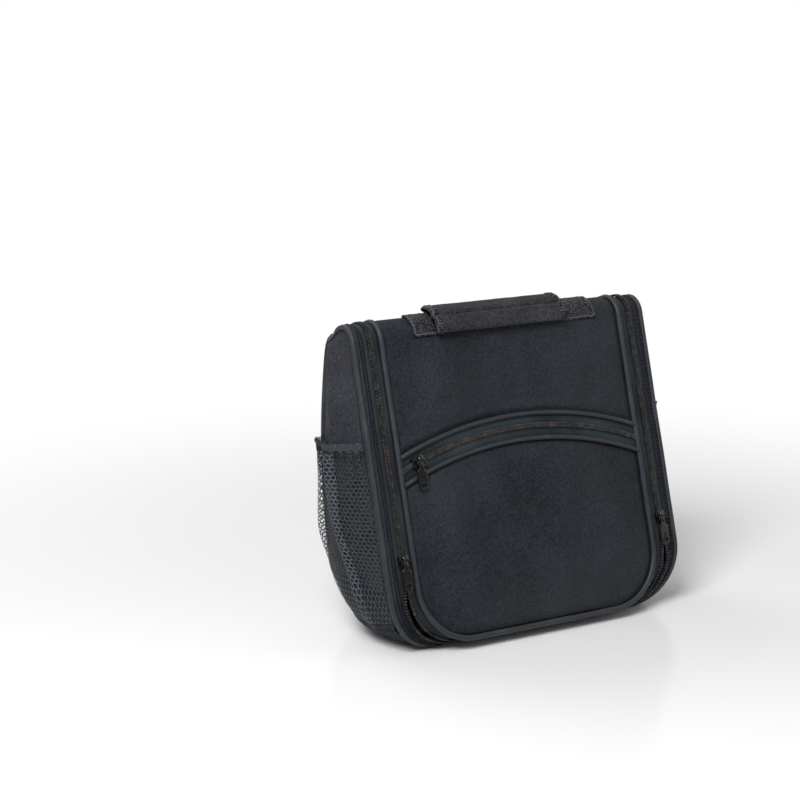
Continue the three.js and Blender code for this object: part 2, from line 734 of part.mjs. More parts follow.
function buildFlap() {
  add(flapPlane, 'flap_upper_panel', flapPanel(upperEdge, true), cloth);
  add(flapPlane, 'flap_pocket_panel', flapPanel(lowerEdge, false), cloth);
  const band = (half, low, high) => archBand(archRadius - half, archRadius + half, low, high);
  add(flapPlane, 'pocket_zip_tape', band(archTapeHalfWidth, -tapeThickness, 0), tapeCloth);
  add(flapPlane, 'pocket_zip_coil', band(archCoilHalfWidth, rowLow, rowHigh), coilNylon);
  add(flapPlane, 'pocket_upper_piping', archTube(archRadius + archHalfBand), bindingCloth);
  add(flapPlane, 'pocket_lower_piping', archTube(archRadius - archHalfBand), bindingCloth);
  add(bag, 'flap_piping', piping(flapSeam, 0, sewnGap, pipingRadius), bindingCloth);
  const flapTapeEnd = zipOffset - tapeEdge;
  add(bag, 'flap_zip_tape', strip(flapSeam, flapTapeStart, flapTapeEnd, -tapeThickness, 0), tapeCloth);
  add(bag, 'flap_zip_coil', strip(flapSeam, rowNear, rowNear + rowWidth, rowLow, rowHigh), coilNylon);

  const liningTop = flapHeight - 2 * hingeGap;
  const pocketLining = slab(flapOutline(2 * panelInset, 2 * panelInset, archApex), -pocketLiningDepth,
    -pocketLiningDepth + liningThickness);
  add(flapPlane, 'pocket_lining', pocketLining, liningCloth);
  const lining = slab(flapOutline(panelInset, panelInset, liningTop), -flapLiningDepth,
    -flapLiningDepth + liningThickness);
  add(flapPlane, 'flap_lining', lining, liningCloth);
  const sheetHeight = flapClearPocketHigh - flapClearPocketLow;
  const sheet = new THREE.BoxGeometry(2 * clearPocketHalfWidth, sheetHeight, clearSheetThickness);
  sheet.translate(0, flapClearPocketLow + 0.5 * sheetHeight, liningSeat - 0.5 * clearSheetThickness);
  add(flapPlane, 'flap_clear_pocket', sheet, clearSheet);
}

const liningSeat = -flapLiningDepth - sewnGap;

// Arched zip's slider, ears towards the pull, and the pull hanging down the pocket
function buildPocketSlider() {
  const turn = Math.asin(-pocketSliderX / archRadius);
  const up = archCentre + archRadius * Math.cos(turn);
  const { body, top } = ridingSlider(rowHigh);
  body.rotateZ(turn);
  const axis = top + runningGap + barrelRadius;
  const slider = add(flapPlane, 'pocket_zip_slider', joined([body, ...ears(top, 0)]), blackMetal);
  slider.position.set(pocketSliderX, up, 0);
  add(flapPlane, 'pocket_zip_pull', hangingPull(), blackMetal).position.set(pocketSliderX, up, axis);
}

// Wire hook with its strap and the patch that holds it to the flap lining
function buildHook() {
  const patchHeight = patchHigh - patchLow;
  const patch = new THREE.BoxGeometry(2 * patchHalfWidth, patchHeight, liningThickness);
  const patchSeat = liningSeat - tapeThickness - rowHeight - sewnGap;
  patch.translate(0, patchLow + 0.5 * patchHeight, patchSeat - 0.5 * liningThickness);
  add(flapPlane, 'hook_patch', patch, bindingCloth);

  const loopInner = wireRadius + sewnGap;
  const loopOuter = loopInner + loopWall;
  const loop = new THREE.Shape();
  loop.absarc(0, 0, loopOuter, 0, 2 * halfTurn, false);
  const bore = new THREE.Path();
  bore.absarc(0, 0, loopInner, 0, 2 * halfTurn, true);
  loop.holes.push(bore);
  const across = (geometry) => geometry.rotateY(quarterTurn);
  const ring = across(slab(loop, -strapHalfWidth, strapHalfWidth));
  const strapHeight = hookBarHeight - patchHigh - sewnGap - 0.5 * (loopInner + loopOuter);
  const strap = new THREE.BoxGeometry(2 * strapHalfWidth, strapHeight, loopWall);
  strap.translate(0, -0.5 * (loopInner + loopOuter) - 0.5 * strapHeight, 0);
  const webbing = add(flapPlane, 'hook_webbing', joined([ring, strap]), webbingCloth);
  webbing.position.set(0, hookBarHeight, -hookDepth);

  const points = [];
  const place = (x, up) => points.push(new THREE.Vector3(x, up, 0));
  const neck = 2 * wireRadius + sewnGap;
  place(-neck, ringHeight);
  place(-ringHalfWidth, wireRadius);
  place(-ringHalfWidth + wireRadius, 0);
  place(ringHalfWidth - wireRadius, 0);
  place(ringHalfWidth, wireRadius);
  place(0, ringHeight);
  place(0, ringHeight + shankLength);
  for (let i = 1; i <= curveSteps; i += 1) {
    const turn = quarterTurn - (1.25 * halfTurn * i) / curveSteps;
    place(hookBend * Math.cos(turn), ringHeight + shankLength + hookBend * (1 - Math.sin(turn)));
  }
  const hook = add(flapPlane, 'hook', tube(points, wireRadius), hookMetal);
  hook.position.set(0, hookBarHeight, -hookDepth);
}

// Top: panel with the front fold, lining, clear sheet, piping and the moving half of the zip
function foldedSheet(half, low, high, fromTurn, toBack) {
  const steps = foldSteps + flatSteps;
  return moulded(1, steps, (u, v, w) => {
    const index = Math.round(v * steps);
    const rise = mix(low, high, w);
    const x = mix(-half, half, u);
    if (index <= foldSteps) {
      const normal = normalAt(mix(fromTurn, foldTurn, index / foldSteps));
      return foldCentre.clone().addScaledVector(normal, foldRadius + rise).setX(x);
    }
    const back = (toBack * (index - foldSteps)) / flatSteps;
    const start = foldCentre.clone().addScaledVector(topOut, foldRadius + rise);
    return start.addScaledVector(topBack, back).setX(x);
  });
}

function buildTop() {
  const panel = foldedSheet(panelHalf, panelRise - panelThickness, panelRise, 0, topLength);
  add(bag, 'top_panel', panel, cloth);
  const liningHigh = panelRise - panelThickness - sewnGap;
  const liningLow = liningHigh - liningThickness;
  const liningEnd = topLength - 2 * panelThickness;
  add(bag, 'top_lining', foldedSheet(panelHalf, liningLow, liningHigh, 0, liningEnd), liningCloth);
  const sheetHigh = liningLow - sewnGap;
  const sheet = foldedSheet(clearPocketHalfWidth, sheetHigh - clearSheetThickness, sheetHigh, 0, liningEnd);
  add(bag, 'top_clear_pocket', sheet, clearSheet);
  Object.entries(topSeams).forEach(([hand, places]) => {
    const flapTapeEnd = zipOffset - tapeEdge;
    add(bag, `${hand}_top_piping`, piping(places, 0, sewnGap, pipingRadius), bindingCloth);
    const tape = strip(places, flapTapeStart, flapTapeEnd, -tapeThickness, 0);
    add(bag, `${hand}_top_zip_tape`, tape, tapeCloth);
    add(bag, `${hand}_top_zip_coil`, strip(places, rowNear, rowNear + rowWidth, rowLow, rowHigh), coilNylon);
  });
}

// Handle: each end of the webbing follows the fold up to the sleeve, which is crowned round it
function roundFold(x, radius, centreTurn, width, share) {
  const turn = centreTurn + ((share - 0.5) * width) / radius;
  return foldCentre.clone().addScaledVector(normalAt(turn), radius).setX(x);
}

function buildHandle() {
  const clothFace = foldRadius + panelRise;
  const webbingFace = clothFace + sewnGap;
  const sleeveEnd = sleeveHalfLength + sewnGap;
  [['left', -1], ['right', 1]].forEach(([hand, sign]) => {
    const outerX = webbingCentreX + sign * webbingHalfSpan;
    const innerX = sleeveCentreX + sign * sleeveEnd;
    add(bag, `${hand}_handle_webbing`, moulded(2, depthSteps, (u, v, w) => (
      roundFold(mix(outerX, innerX, u), webbingFace + w * webbingThickness, webbingTurn, webbingWidth, v)
    )), webbingCloth);
  });
  const sleeveMiddle = clothFace + sleeveStandOff + 0.5 * sleeveThickness;
  add(bag, 'handle_sleeve', moulded(2, 2 * depthSteps, (u, v, w) => {
    const x = sleeveCentreX + mix(-sleeveHalfLength, sleeveHalfLength, u);
    const fullness = mix(sleeveEdgeShare, 1, Math.sqrt(Math.sin(halfTurn * v)));
    const radius = sleeveMiddle + (w - 0.5) * fullness * sleeveThickness;
    const turn = sleeveTurn + ((v - 0.5) * sleeveWidth) / sleeveMiddle;
    return foldCentre.clone().addScaledVector(normalAt(turn), radius).setX(x);
  }), cloth);
}

buildBody();
buildInnerWall();
add(flapPlane, 'inner_wall_zip', liningZip(innerZipHeight, -innerWallDepth + sewnGap), coilNylon);
buildLiningSlider('inner_wall', innerZipHeight, -innerWallDepth + sewnGap, 1);
buildMainSliders();
buildTop();
buildHandle();
buildFlap();
buildPocketSlider();
[['flap_edge', edgeZipHeight], ['flap_middle', middleZipHeight]].forEach(([name, height]) => {
  const zip = liningZip(0, 0).rotateY(halfTurn).translate(0, height, liningSeat);
  add(flapPlane, `${name}_zip`, zip, coilNylon);
  buildLiningSlider(name, height, liningSeat, -1);
});
buildHook();

// The origin is under the middle of the bag, on the surface that it stands on
bag.updateMatrixWorld(true);
const reach = new THREE.Box3().setFromObject(bag, true);
bag.position.y = -0.5 * (reach.min.y + reach.max.y);

export default bag;
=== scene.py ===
"""Looks of a hanging wash bag, closed and standing on its base. Metres, +X right, -Y front, +Z up."""

import logging
import math
from contextlib import contextmanager
from dataclasses import dataclass, replace
from enum import Enum
from functools import cache, cached_property
from typing import Callable, Iterator, Optional, Sequence, Union

import bmesh
import bpy
import numpy as np
from mathutils import Matrix, Vector, noise


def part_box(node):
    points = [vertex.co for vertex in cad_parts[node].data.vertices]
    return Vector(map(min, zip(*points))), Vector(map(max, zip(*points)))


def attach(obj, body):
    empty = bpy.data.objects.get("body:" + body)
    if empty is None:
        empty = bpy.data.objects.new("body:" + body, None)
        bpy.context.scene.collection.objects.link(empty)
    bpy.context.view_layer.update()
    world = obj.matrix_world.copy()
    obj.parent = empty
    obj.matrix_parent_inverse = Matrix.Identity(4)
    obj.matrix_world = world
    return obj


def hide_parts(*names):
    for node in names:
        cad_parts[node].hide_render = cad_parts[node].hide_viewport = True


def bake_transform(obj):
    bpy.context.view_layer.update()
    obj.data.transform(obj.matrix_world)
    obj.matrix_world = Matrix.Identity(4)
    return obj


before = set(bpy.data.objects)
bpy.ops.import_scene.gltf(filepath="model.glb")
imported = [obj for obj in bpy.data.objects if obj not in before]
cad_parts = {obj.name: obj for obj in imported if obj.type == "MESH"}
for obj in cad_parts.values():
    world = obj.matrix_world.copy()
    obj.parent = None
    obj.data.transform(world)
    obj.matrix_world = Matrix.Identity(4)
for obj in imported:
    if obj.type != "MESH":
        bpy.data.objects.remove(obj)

log = logging.getLogger("wash_bag")

MM = 0.001
HALF_TURN = math.pi
QUARTER_TURN = 0.5 * math.pi
WHITE = (1.0, 1.0, 1.0)
SMALLEST_FOLD = 0.01 * MM
WEBBING_WIDTH = 25 * MM
HANDS = (("left", -1), ("right", 1))

Piece = bpy.types.Object
Colour = tuple[float, float, float]
Place = Callable[[float, float], Vector]
Number = Union[float, "Value"]


def mix(start: float, end: float, share: float) -> float:
    """The value a share of the way from start to end."""
    return start + (end - start) * share


def ease(value: float, low: float, high: float) -> float:
    """0 below low, 1 above high, and a smooth rise between them."""
    share = min(max((value - low) / (high - low), 0.0), 1.0)
    return share * share * (3 - 2 * share)


def bump(value: float, centre: float, width: float) -> float:
    """A smooth hump of height 1 at centre that dies away over width."""
    return math.exp(-(((value - centre) / width) ** 2))


def rounded(share: float) -> float:
    """Fall of a quarter circle: 0 at its start and 1 at its end."""
    return 1 - math.sqrt(1 - min(max(share, 0.0), 1.0) ** 2)


def arching(share: float) -> float:
    """0 at both ends and 1 halfway."""
    return math.sin(HALF_TURN * share)


def spread(share: float) -> float:
    """From -1 to 1, with steps that are closer near both ends."""
    return math.sin(QUARTER_TURN * (2 * share - 1))


def wander(x: float, y: float, z: float) -> float:
    """Smooth noise about 0, the same on each run."""
    return noise.noise(Vector((x, y, z)))


def tint(code: str) -> Colour:
    """A colour written as six hex digits, as the shader's own numbers."""
    parts = [int(code[i:i + 2], 16) / 255 for i in (0, 2, 4)]
    return tuple(p / 12.92 if p <= 0.04045 else ((p + 0.055) / 1.055) ** 2.4 for p in parts)


# Shader building


def operator(operation: str, swapped: bool = False) -> Callable[["Value", Number], "Value"]:
    """An arithmetic method of Value, which adds a Math node."""

    def method(value: "Value", other: Number) -> "Value":
        """The operation on a value and another number."""
        return value.recipe.maths(operation, *((other, value) if swapped else (value, other)))

    return method


class Value:
    """A number that changes over a surface, with arithmetic."""

    def __init__(self, recipe: "Recipe", socket: bpy.types.NodeSocket) -> None:
        """Wrap a socket of a recipe."""
        self.recipe = recipe
        self.socket = socket

    __add__ = __radd__ = operator("ADD")
    __sub__ = operator("SUBTRACT")
    __rsub__ = operator("SUBTRACT", swapped=True)
    __mul__ = __rmul__ = operator("MULTIPLY")
    __truediv__ = operator("DIVIDE")

    def __abs__(self) -> "Value":
        """This without its sign."""
        return self.recipe.maths("ABSOLUTE", self)


class Recipe:
    """The nodes of one finish or of the surround."""

    def __init__(self, owner: Union[bpy.types.Material, bpy.types.World], dark: Colour = WHITE,
                 light: Colour = WHITE) -> None:
        """Start with the owner's node tree empty, and with the two colours that its patterns mix."""
        owner.use_nodes = True
        self.tree = owner.node_tree
        self.tree.nodes.clear()
        self.dark = dark
        self.light = light

    def node(self, kind: str, inputs: Optional[dict] = None, output: Union[int, str] = 0,
             **settings: str) -> Value:
        """Add a node and give back one of its outputs.

        Args:
            kind: Node type, without its ShaderNode prefix.
            inputs: Numbers, colours or links of its sockets, by name or number.
            output: Which output to give back.
            settings: Attributes of the node, set first.
        """
        node = self.tree.nodes.new("ShaderNode" + kind)
        for key, value in settings.items():
            setattr(node, key, value)
        for key, value in (inputs or {}).items():
            if isinstance(value, Value):
                self.tree.links.new(value.socket, node.inputs[key])
            else:
                node.inputs[key].default_value = (*value, 1) if node.inputs[key].type == "RGBA" else value
        return Value(self, node.outputs[output])

    def close(self, shader: Value, kind: str = "OutputMaterial") -> None:
        """Join the last shader to the output."""
        output = self.tree.nodes.new("ShaderNode" + kind)
        self.tree.links.new(shader.socket, output.inputs[0])

    @cached_property
    def cloth(self) -> Value:
        """Coordinates along the cloth, in metres."""
        return self.node("TexCoord", output="UV")

    @cached_property
    def space(self) -> Value:
        """Coordinates of the object, in metres."""
        return self.node("TexCoord", output="Object")

    def maths(self, operation: str, *numbers: Number) -> Value:
        """A Math node on one to three numbers."""
        return self.node("Math", dict(enumerate(numbers)), operation=operation)

    def between(self, value: Value, low: float, high: float, start: float = 0.0, end: float = 1.0) -> Value:
        """Start below low, end above high, smooth between them."""
        inputs = {0: value, 1: low, 2: high, 3: start, 4: end}
        return self.node("MapRange", inputs, interpolation_type="SMOOTHSTEP")

    def shade(self, share: Number, first: Union[Colour, Value, None] = None,
              second: Union[Colour, Value, None] = None) -> Value:
        """Two colours mixed by a share: the dark and the light one if none are given."""
        inputs = {0: share, 6: first or self.dark, 7: second or self.light}
        return self.node("Mix", inputs, output=2, data_type="RGBA")

    def parts(self, vector: Value) -> tuple[Value, Value, Value]:
        """The three numbers of a vector."""
        node = self.node("SeparateXYZ", {0: vector}).socket.node
        return tuple(Value(self, node.outputs[i]) for i in range(3))

    def stretched(self, vector: Value, scale: tuple[float, float, float], degrees: float = 0.0) -> Value:
        """A pattern's coordinates scaled, then turned about Z."""
        return self.node("Mapping", {0: vector, 2: (0.0, 0.0, math.radians(degrees)), 3: scale})

    def grain(self, scale: float, detail: float = 2.0, roughness: float = 0.5,
              vector: Optional[Value] = None) -> Value:
        """Noise about 0.5, in the object's space if no coordinates are given."""
        return self.node("TexNoise", {"Vector": vector or self.space, "Scale": scale, "Detail": detail,
                                      "Roughness": roughness})

    def ribs(self, pitch: float, direction: str = "X", distortion: float = 0.0,
             degrees: float = 0.0) -> Value:
        """Parallel ridges of the cloth, 0 to 1, a pitch apart along X or Y or turned from them."""
        vector = self.stretched(self.cloth, (1.0, 1.0, 1.0), degrees) if degrees else self.cloth
        inputs = {"Vector": vector, "Scale": 2 * HALF_TURN / (20 * pitch), "Distortion": distortion,
                  "Detail": 1.0, "Detail Scale": 2.0}
        return self.node("TexWave", inputs, "Fac", wave_type="BANDS", bands_direction=direction)

    def relief(self, height: Value, depth: float, strength: float, under: Optional[Value] = None) -> Value:
        """A bump of that depth, in metres, over another normal."""
        inputs = {"Height": height, "Distance": depth, "Strength": strength}
        if under is not None:
            inputs["Normal"] = under
        return self.node("Bump", inputs, "Normal")

    def stitched(self, line: float, colour: Value, normal: Value) -> tuple[Value, Value]:
        """The colour and normal with a sunken seam line darkened by painted shade, and a row of stitches that
        far from the cloth's first edge.
        """
        away = abs(self.parts(self.cloth)[1] - line)
        shaded_groove = 1 - self.between(away, 0.35 * MM, 0.9 * MM)
        on_line = 1 - self.between(away, 0.2 * MM, 0.45 * MM)
        thread = self.between(self.ribs(2.8 * MM), 0.3, 0.6) * on_line
        # The sunken line is mixed towards the dark colour as painted shade; the stitches are lighter thread.
        colour = self.shade(0.45 * thread, self.shade(0.85 * shaded_groove, colour, self.dark))
        return colour, self.relief(thread - 1.4 * shaded_groove, 0.35 * MM, 0.9, normal)

    def hexagons(self, across: Value, up: Value) -> Value:
        """Distance in cells from the nearest side of a honeycomb: 0 on the sides and 0.5 mid-cell."""
        rise = math.sqrt(3)

        def cell(shift: float) -> tuple[Value, Value, Value]:
            """Distance from the middle of the nearest cell of one of the two sets of rows."""
            x = self.maths("WRAP", across + 0.5 * shift, 0.5, -0.5)
            y = self.maths("WRAP", up + 0.5 * rise * shift, 0.5 * rise, -0.5 * rise)
            return x, y, x * x + y * y

        first, second = cell(0.0), cell(1.0)
        nearer = self.maths("LESS_THAN", first[2], second[2])
        x, y = (second[i] + nearer * (first[i] - second[i]) for i in (0, 1))
        slanted = 0.5 * abs(x) + 0.5 * rise * abs(y)
        return 0.5 - self.maths("MAXIMUM", abs(x), slanted)

    def seen(self, gloss: Number = 1.0) -> Value:
        """1 for rays of the camera and through clear sheets, and gloss for reflected ones."""
        camera, glossy, through = (self.node("LightPath", output=f"Is {ray} Ray")
                                   for ray in ("Camera", "Glossy", "Transmission"))
        return self.maths("MAXIMUM", self.maths("MAXIMUM", camera, glossy * gloss), through)

    def surface(self, colour: Value, gloss: Number, normal: Value, specular: float, **more: object) -> Value:
        """A Principled shader; more holds further inputs with underscores for spaces."""
        inputs = {"Base Color": colour, "Roughness": gloss, "Normal": normal, "Specular IOR Level": specular}
        inputs.update({key.replace("_", " "): value for key, value in more.items()})
        return self.node("BsdfPrincipled", inputs)


# Finishes


@dataclass(frozen=True)
class Finish:
    """A named look that mixes a dark and a light colour, given as hex digits."""

    name: str
    dark: str
    light: str

    def material(self) -> bpy.types.Material:
        """The finish as a material."""
        material = bpy.data.materials.new(self.name)
        recipe = Recipe(material, tint(self.dark), tint(self.light))
        recipe.close(self.shader(recipe))
        return material

    def shader(self, recipe: Recipe) -> Value:
        """The shader of this kind of finish."""
        raise NotImplementedError


@dataclass(frozen=True)
class Twill(Finish):
    """Woven polyester with a fine diagonal rib, fuzz, a soft sheen and warm lighter patches of painted sheen.
    """

    painted_sheen_colour: str
    pitch: float = 1.5 * MM
    roughness: float = 0.74
    sheen: float = 0.03
    specular: float = 0.12
    slackness: float = 1.0
    stitched_at: tuple[float, ...] = ()

    def shader(self, recipe: Recipe) -> Value:
        """Rib, crossing thread and fuzz over broad soft folds, with painted sheen in warm lighter patches at
        random.
        """
        rib = recipe.ribs(self.pitch, "X", 1.1, 38)
        thread = recipe.ribs(0.7 * self.pitch, "X", 0.8, -52)
        fuzz = recipe.grain(560.0, 6.0, 0.85)
        patches = recipe.grain(13.0, 5.0, 0.65)
        glow = recipe.grain(5.85)
        weave = 0.32 * rib + 0.2 * thread + 3.5 * (fuzz - 0.4)
        colour = recipe.shade(recipe.between(0.6 * patches + 0.5 * weave, 0.25, 1.0))
        # Painted sheen: large random patches mixed towards the warm lighter colour stand in for the cloth's
        # brownish sheen.
        colour = recipe.shade(0.4 * recipe.between(glow, 0.35, 0.75), colour, tint(self.painted_sheen_colour))
        gloss = self.roughness + 0.16 * (fuzz - 0.5) - 0.05 * rib
        slack = recipe.stretched(recipe.space, (1.0, 1.0, 0.7))
        broad = recipe.relief(recipe.grain(14.0, 1.0, 0.4, slack), 14.0 * MM, self.slackness)
        folds = recipe.relief(recipe.grain(27.0, 2.0, 0.45, slack), 5.0 * MM, self.slackness, broad)
        soft = recipe.relief(recipe.grain(95.0, 3.0, 0.55), 0.9 * MM, 0.6, folds)
        normal = recipe.relief(weave, 0.2 * MM, 0.8, soft)
        # Each stitched line adds a row of stitches and a sunken seam with painted shade.
        for line in self.stitched_at:
            colour, normal = recipe.stitched(line, colour, normal)
        return recipe.surface(colour, gloss, normal, self.specular, Sheen_Weight=self.sheen,
                              Sheen_Roughness=0.5, Sheen_Tint=recipe.light)


@dataclass(frozen=True)
class Tape(Finish):
    """Woven zip tape: fine ribs along its length, with a row of stitches if it has a place for one."""

    stitch_at: Optional[float] = None

    def shader(self, recipe: Recipe) -> Value:
        """Ribs both ways, fuzz and the stitches."""
        lengthwise = recipe.ribs(0.9 * MM, "Y")
        crosswise = recipe.ribs(0.72 * MM)
        height = 0.7 * lengthwise + 0.3 * crosswise + 0.4 * recipe.grain(1300.0, 2.0, 0.6)
        colour = recipe.shade(recipe.between(recipe.grain(30.0, 3.0) + 0.3 * height, 0.4, 1.0))
        if self.stitch_at is not None:
            away = abs(recipe.parts(recipe.cloth)[1] - self.stitch_at)
            near = 1 - recipe.between(away, 0.25 * MM, 0.55 * MM)
            stitch = near * recipe.ribs(2.6 * MM)
            height = height + 2.5 * stitch - 1.5 * near
            colour = recipe.shade(0.5 * stitch, colour)
        normal = recipe.relief(height, 0.22 * MM, 0.8)
        return recipe.surface(colour, 0.7 - 0.1 * lengthwise, normal, 0.18, Sheen_Weight=0.03)


@dataclass(frozen=True)
class Binding(Finish):
    """Piping and bias binding: close cross ribs, worn a little lighter in random patches."""

    pitch: float = 1.0 * MM
    roughness: float = 0.5
    coat: float = 0.0
    ridge: float = 0.1 * MM
    specular: float = 0.45

    def shader(self, recipe: Recipe) -> Value:
        """Ribs, fuzz, wear and small creases."""
        rib = recipe.ribs(self.pitch, "X", 0.8)
        fuzz = recipe.grain(1200.0, 2.0, 0.6)
        worn = recipe.between(recipe.grain(55.0, 4.0, 0.6), 0.45, 0.75)
        crease = recipe.grain(260.0, 3.0, 0.5, recipe.stretched(recipe.cloth, (1.0, 0.3, 1.0)))
        colour = recipe.shade(0.25 * rib + 0.3 * fuzz + 0.4 * worn)
        normal = recipe.relief(0.5 * rib + 0.5 * fuzz + 0.9 * crease, self.ridge, 0.7)
        return recipe.surface(colour, self.roughness + 0.2 * (fuzz - 0.5), normal, self.specular,
                              Coat_Weight=self.coat, Coat_Roughness=0.25)


class Lining(Finish):
    """Thin glossy nylon with fine creases."""

    def shader(self, recipe: Recipe) -> Value:
        """A close weave over creases."""
        warp, weft = recipe.ribs(0.8 * MM), recipe.ribs(0.8 * MM, "Y")
        creases = recipe.grain(38.0, 5.0, 0.55, recipe.stretched(recipe.space, (1.0, 1.0, 0.6)))
        colour = recipe.shade(recipe.between(recipe.grain(18.0, 3.0) + 0.2 * warp, 0.4, 0.9))
        normal = recipe.relief(warp + weft, 0.05 * MM, 0.4, recipe.relief(creases, 2.6 * MM, 0.6))
        return recipe.surface(colour, 0.34 + 0.15 * (creases - 0.5), normal, 0.55)


class ClearSheet(Finish):
    """Clear vinyl with soft waves, a little scuffed."""

    def shader(self, recipe: Recipe) -> Value:
        """Waves, and scuffs that are duller and less clear."""
        scuffs = recipe.grain(120.0, 4.0, 0.7, recipe.stretched(recipe.space, (1.0, 1.0, 6.0)))
        scuffs = recipe.between(scuffs, 0.5, 0.8)
        normal = recipe.relief(recipe.grain(26.0, 3.0, 0.4), 3.0 * MM, 0.7)
        return recipe.surface(recipe.shade(scuffs), 0.06 + 0.25 * scuffs, normal, 0.7,
                              Alpha=0.24 + 0.12 * scuffs, Coat_Weight=0.6, Coat_Roughness=0.05)


@dataclass(frozen=True)
class Net(Finish):
    """Knitted net with six-sided holes, open where the holes are."""

    hole: float = 4.2 * MM
    strand: float = 0.135

    def shader(self, recipe: Recipe) -> Value:
        """Round strands on the sides of a honeycomb, painted lighter along their middles and darker at their
        sides as highlight and shade.
        """
        across, up, _ = recipe.parts(recipe.cloth)
        cell = recipe.hexagons(across / self.hole, up / self.hole)
        fuzz = recipe.grain(900.0, 2.0, 0.6)
        thread = 1 - recipe.between(cell + 0.05 * (fuzz - 0.5), self.strand - 0.03, self.strand + 0.03)
        edge = recipe.between(cell, 0.0, self.strand)
        # Strand middles get the light colour and strand sides the dark one: painted highlight and shade of
        # round strands, with random fuzz.
        colour = recipe.shade(0.5 * fuzz + 0.6 * edge, recipe.light, recipe.dark)
        return recipe.surface(colour, 0.55 + 0.2 * (fuzz - 0.5), recipe.relief(1 - edge, 0.4 * MM, 0.8), 0.4,
                              Alpha=thread)


class Enamel(Finish):
    """Black enamelled zinc, glossy, with rubbed edges and fine scratches."""

    def shader(self, recipe: Recipe) -> Value:
        """Orange peel, scratches and metal that shows at the edges."""
        scratches = recipe.grain(260.0, 4.0, 0.7, recipe.stretched(recipe.space, (9.0, 1.0, 1.0)))
        scratches = recipe.between(scratches, 0.6, 0.75)
        edges = recipe.between(recipe.node("NewGeometry", output="Pointiness"), 0.56, 0.66)
        worn = 0.4 * edges * recipe.between(recipe.grain(320.0, 3.0), 0.42, 0.6)
        colour = recipe.shade(0.6 * worn + 0.15 * scratches)
        normal = recipe.relief(recipe.grain(700.0) + 0.8 * scratches, 0.03 * MM, 0.5)
        return recipe.surface(colour, 0.12 + 0.2 * scratches + 0.15 * worn, normal, 0.4, Metallic=0.2 * worn)


class Wire(Finish):
    """Dark nickel wire, brushed by use."""

    def shader(self, recipe: Recipe) -> Value:
        """Stains, and fine lines round the wire."""
        stains = recipe.between(recipe.grain(160.0, 4.0, 0.6), 0.45, 0.7)
        lines = recipe.grain(300.0, 3.0, 0.6, recipe.stretched(recipe.space, (1.0, 12.0, 12.0)))
        return recipe.surface(recipe.shade(stains, recipe.light, recipe.dark),
                              0.2 + 0.2 * stains + 0.1 * lines, recipe.relief(lines, 0.02 * MM, 0.5), 0.5,
                              Metallic=1.0)


class Webbing(Finish):
    """Coarse woven webbing: rows of knobbly ribs, with a boxed seam."""

    def shader(self, recipe: Recipe) -> Value:
        """Knots, loops and fuzz, with a lighter row of stitches near the border."""
        rows, knots = recipe.ribs(1.5 * MM, "Y", 1.4), recipe.ribs(2.1 * MM, "X", 1.8)
        loops = recipe.node("TexVoronoi", {"Vector": recipe.cloth, "Scale": 620.0, "Randomness": 0.8},
                            "Distance", feature="F1")
        height = 0.5 * rows * knots + 0.9 * (1 - loops) + 0.35 * recipe.grain(1100.0, 3.0, 0.7)
        colour = recipe.shade(recipe.between(height, 0.62, 1.2))
        along, across, _ = recipe.parts(recipe.cloth)
        inside = recipe.maths("MINIMUM", along, recipe.maths("MINIMUM", across, WEBBING_WIDTH - across))
        sewn = 1 - recipe.between(abs(inside - 1.7 * MM), 0.25 * MM, 0.6 * MM)
        return recipe.surface(recipe.shade(0.8 * sewn, colour), 0.72 - 0.15 * rows,
                              recipe.relief(height + 0.8 * sewn, 0.7 * MM, 0.95), 0.2, Sheen_Weight=0.05)


class Nylon(Finish):
    """Moulded nylon filament of the zip coils, with painted brown glints: random lighter spots that stand in
    for highlights.
    """

    def shader(self, recipe: Recipe) -> Value:
        """Painted glints here and there."""
        fine = recipe.grain(1800.0)
        # Random spots mixed towards the lighter brown colour: painted highlights on the coil.
        colour = recipe.shade(recipe.between(recipe.grain(240.0, 3.0, 0.6), 0.4, 0.75))
        return recipe.surface(colour, 0.34 + 0.25 * (fine - 0.5), recipe.relief(fine, 0.03 * MM, 0.4), 0.5)


class StudioFloor(Finish):
    """Pale seamless floor, faintly glossy, that fades to the white surround."""

    def shader(self, recipe: Recipe) -> Value:
        """Paint near the bag and white light far from it."""
        cloud = 0.1 * recipe.grain(1.5)
        paint = recipe.node("BsdfPrincipled", {"Base Color": recipe.shade(cloud), "Specular IOR Level": 0.45,
                                               "Roughness": 0.15 + 0.2 * cloud})
        x, y, _ = recipe.parts(recipe.space)
        share = recipe.seen() * recipe.between(recipe.maths("SQRT", x * x + y * y), 0.22, 0.75)
        glow = recipe.node("Emission", {"Color": WHITE, "Strength": 1.0})
        return recipe.node("MixShader", {0: share, 1: paint, 2: glow})


# The third colour of each cloth is its painted sheen colour, used for the warm lighter patches.
PANEL = Twill("panel_cloth", "05070a", "31363f", "303031", roughness=0.7, specular=0.13)
SIDE = Twill("side_cloth", "0b0c0f", "3f424a", "3b393a", sheen=0.05, stitched_at=(2.6 * MM,))
RIM = Twill("rim_cloth", "090b0d", "383c45", "343538", slackness=0.4, stitched_at=(0.9 * MM, 3.1 * MM))
SLEEVE = Twill("sleeve_cloth", "08090a", "47474c", "3d3936", pitch=1.4 * MM, slackness=0.9)
TAPE = Tape("zip_tape", "0f1416", "2a3236")
ARCH_TAPE = replace(TAPE, name="arch_zip_tape", light="303a40", stitch_at=5.0 * MM)
PIPING = Binding("piping", "0d1013", "2f343c", specular=0.38)
BOUND_EDGE = Binding("bound_edge", "101114", "26272b", roughness=0.34, coat=0.2)
ELASTIC = Binding("elastic", "0b0c0e", "2a2d32", 1.6 * MM, 0.66, ridge=0.5 * MM, specular=0.18)
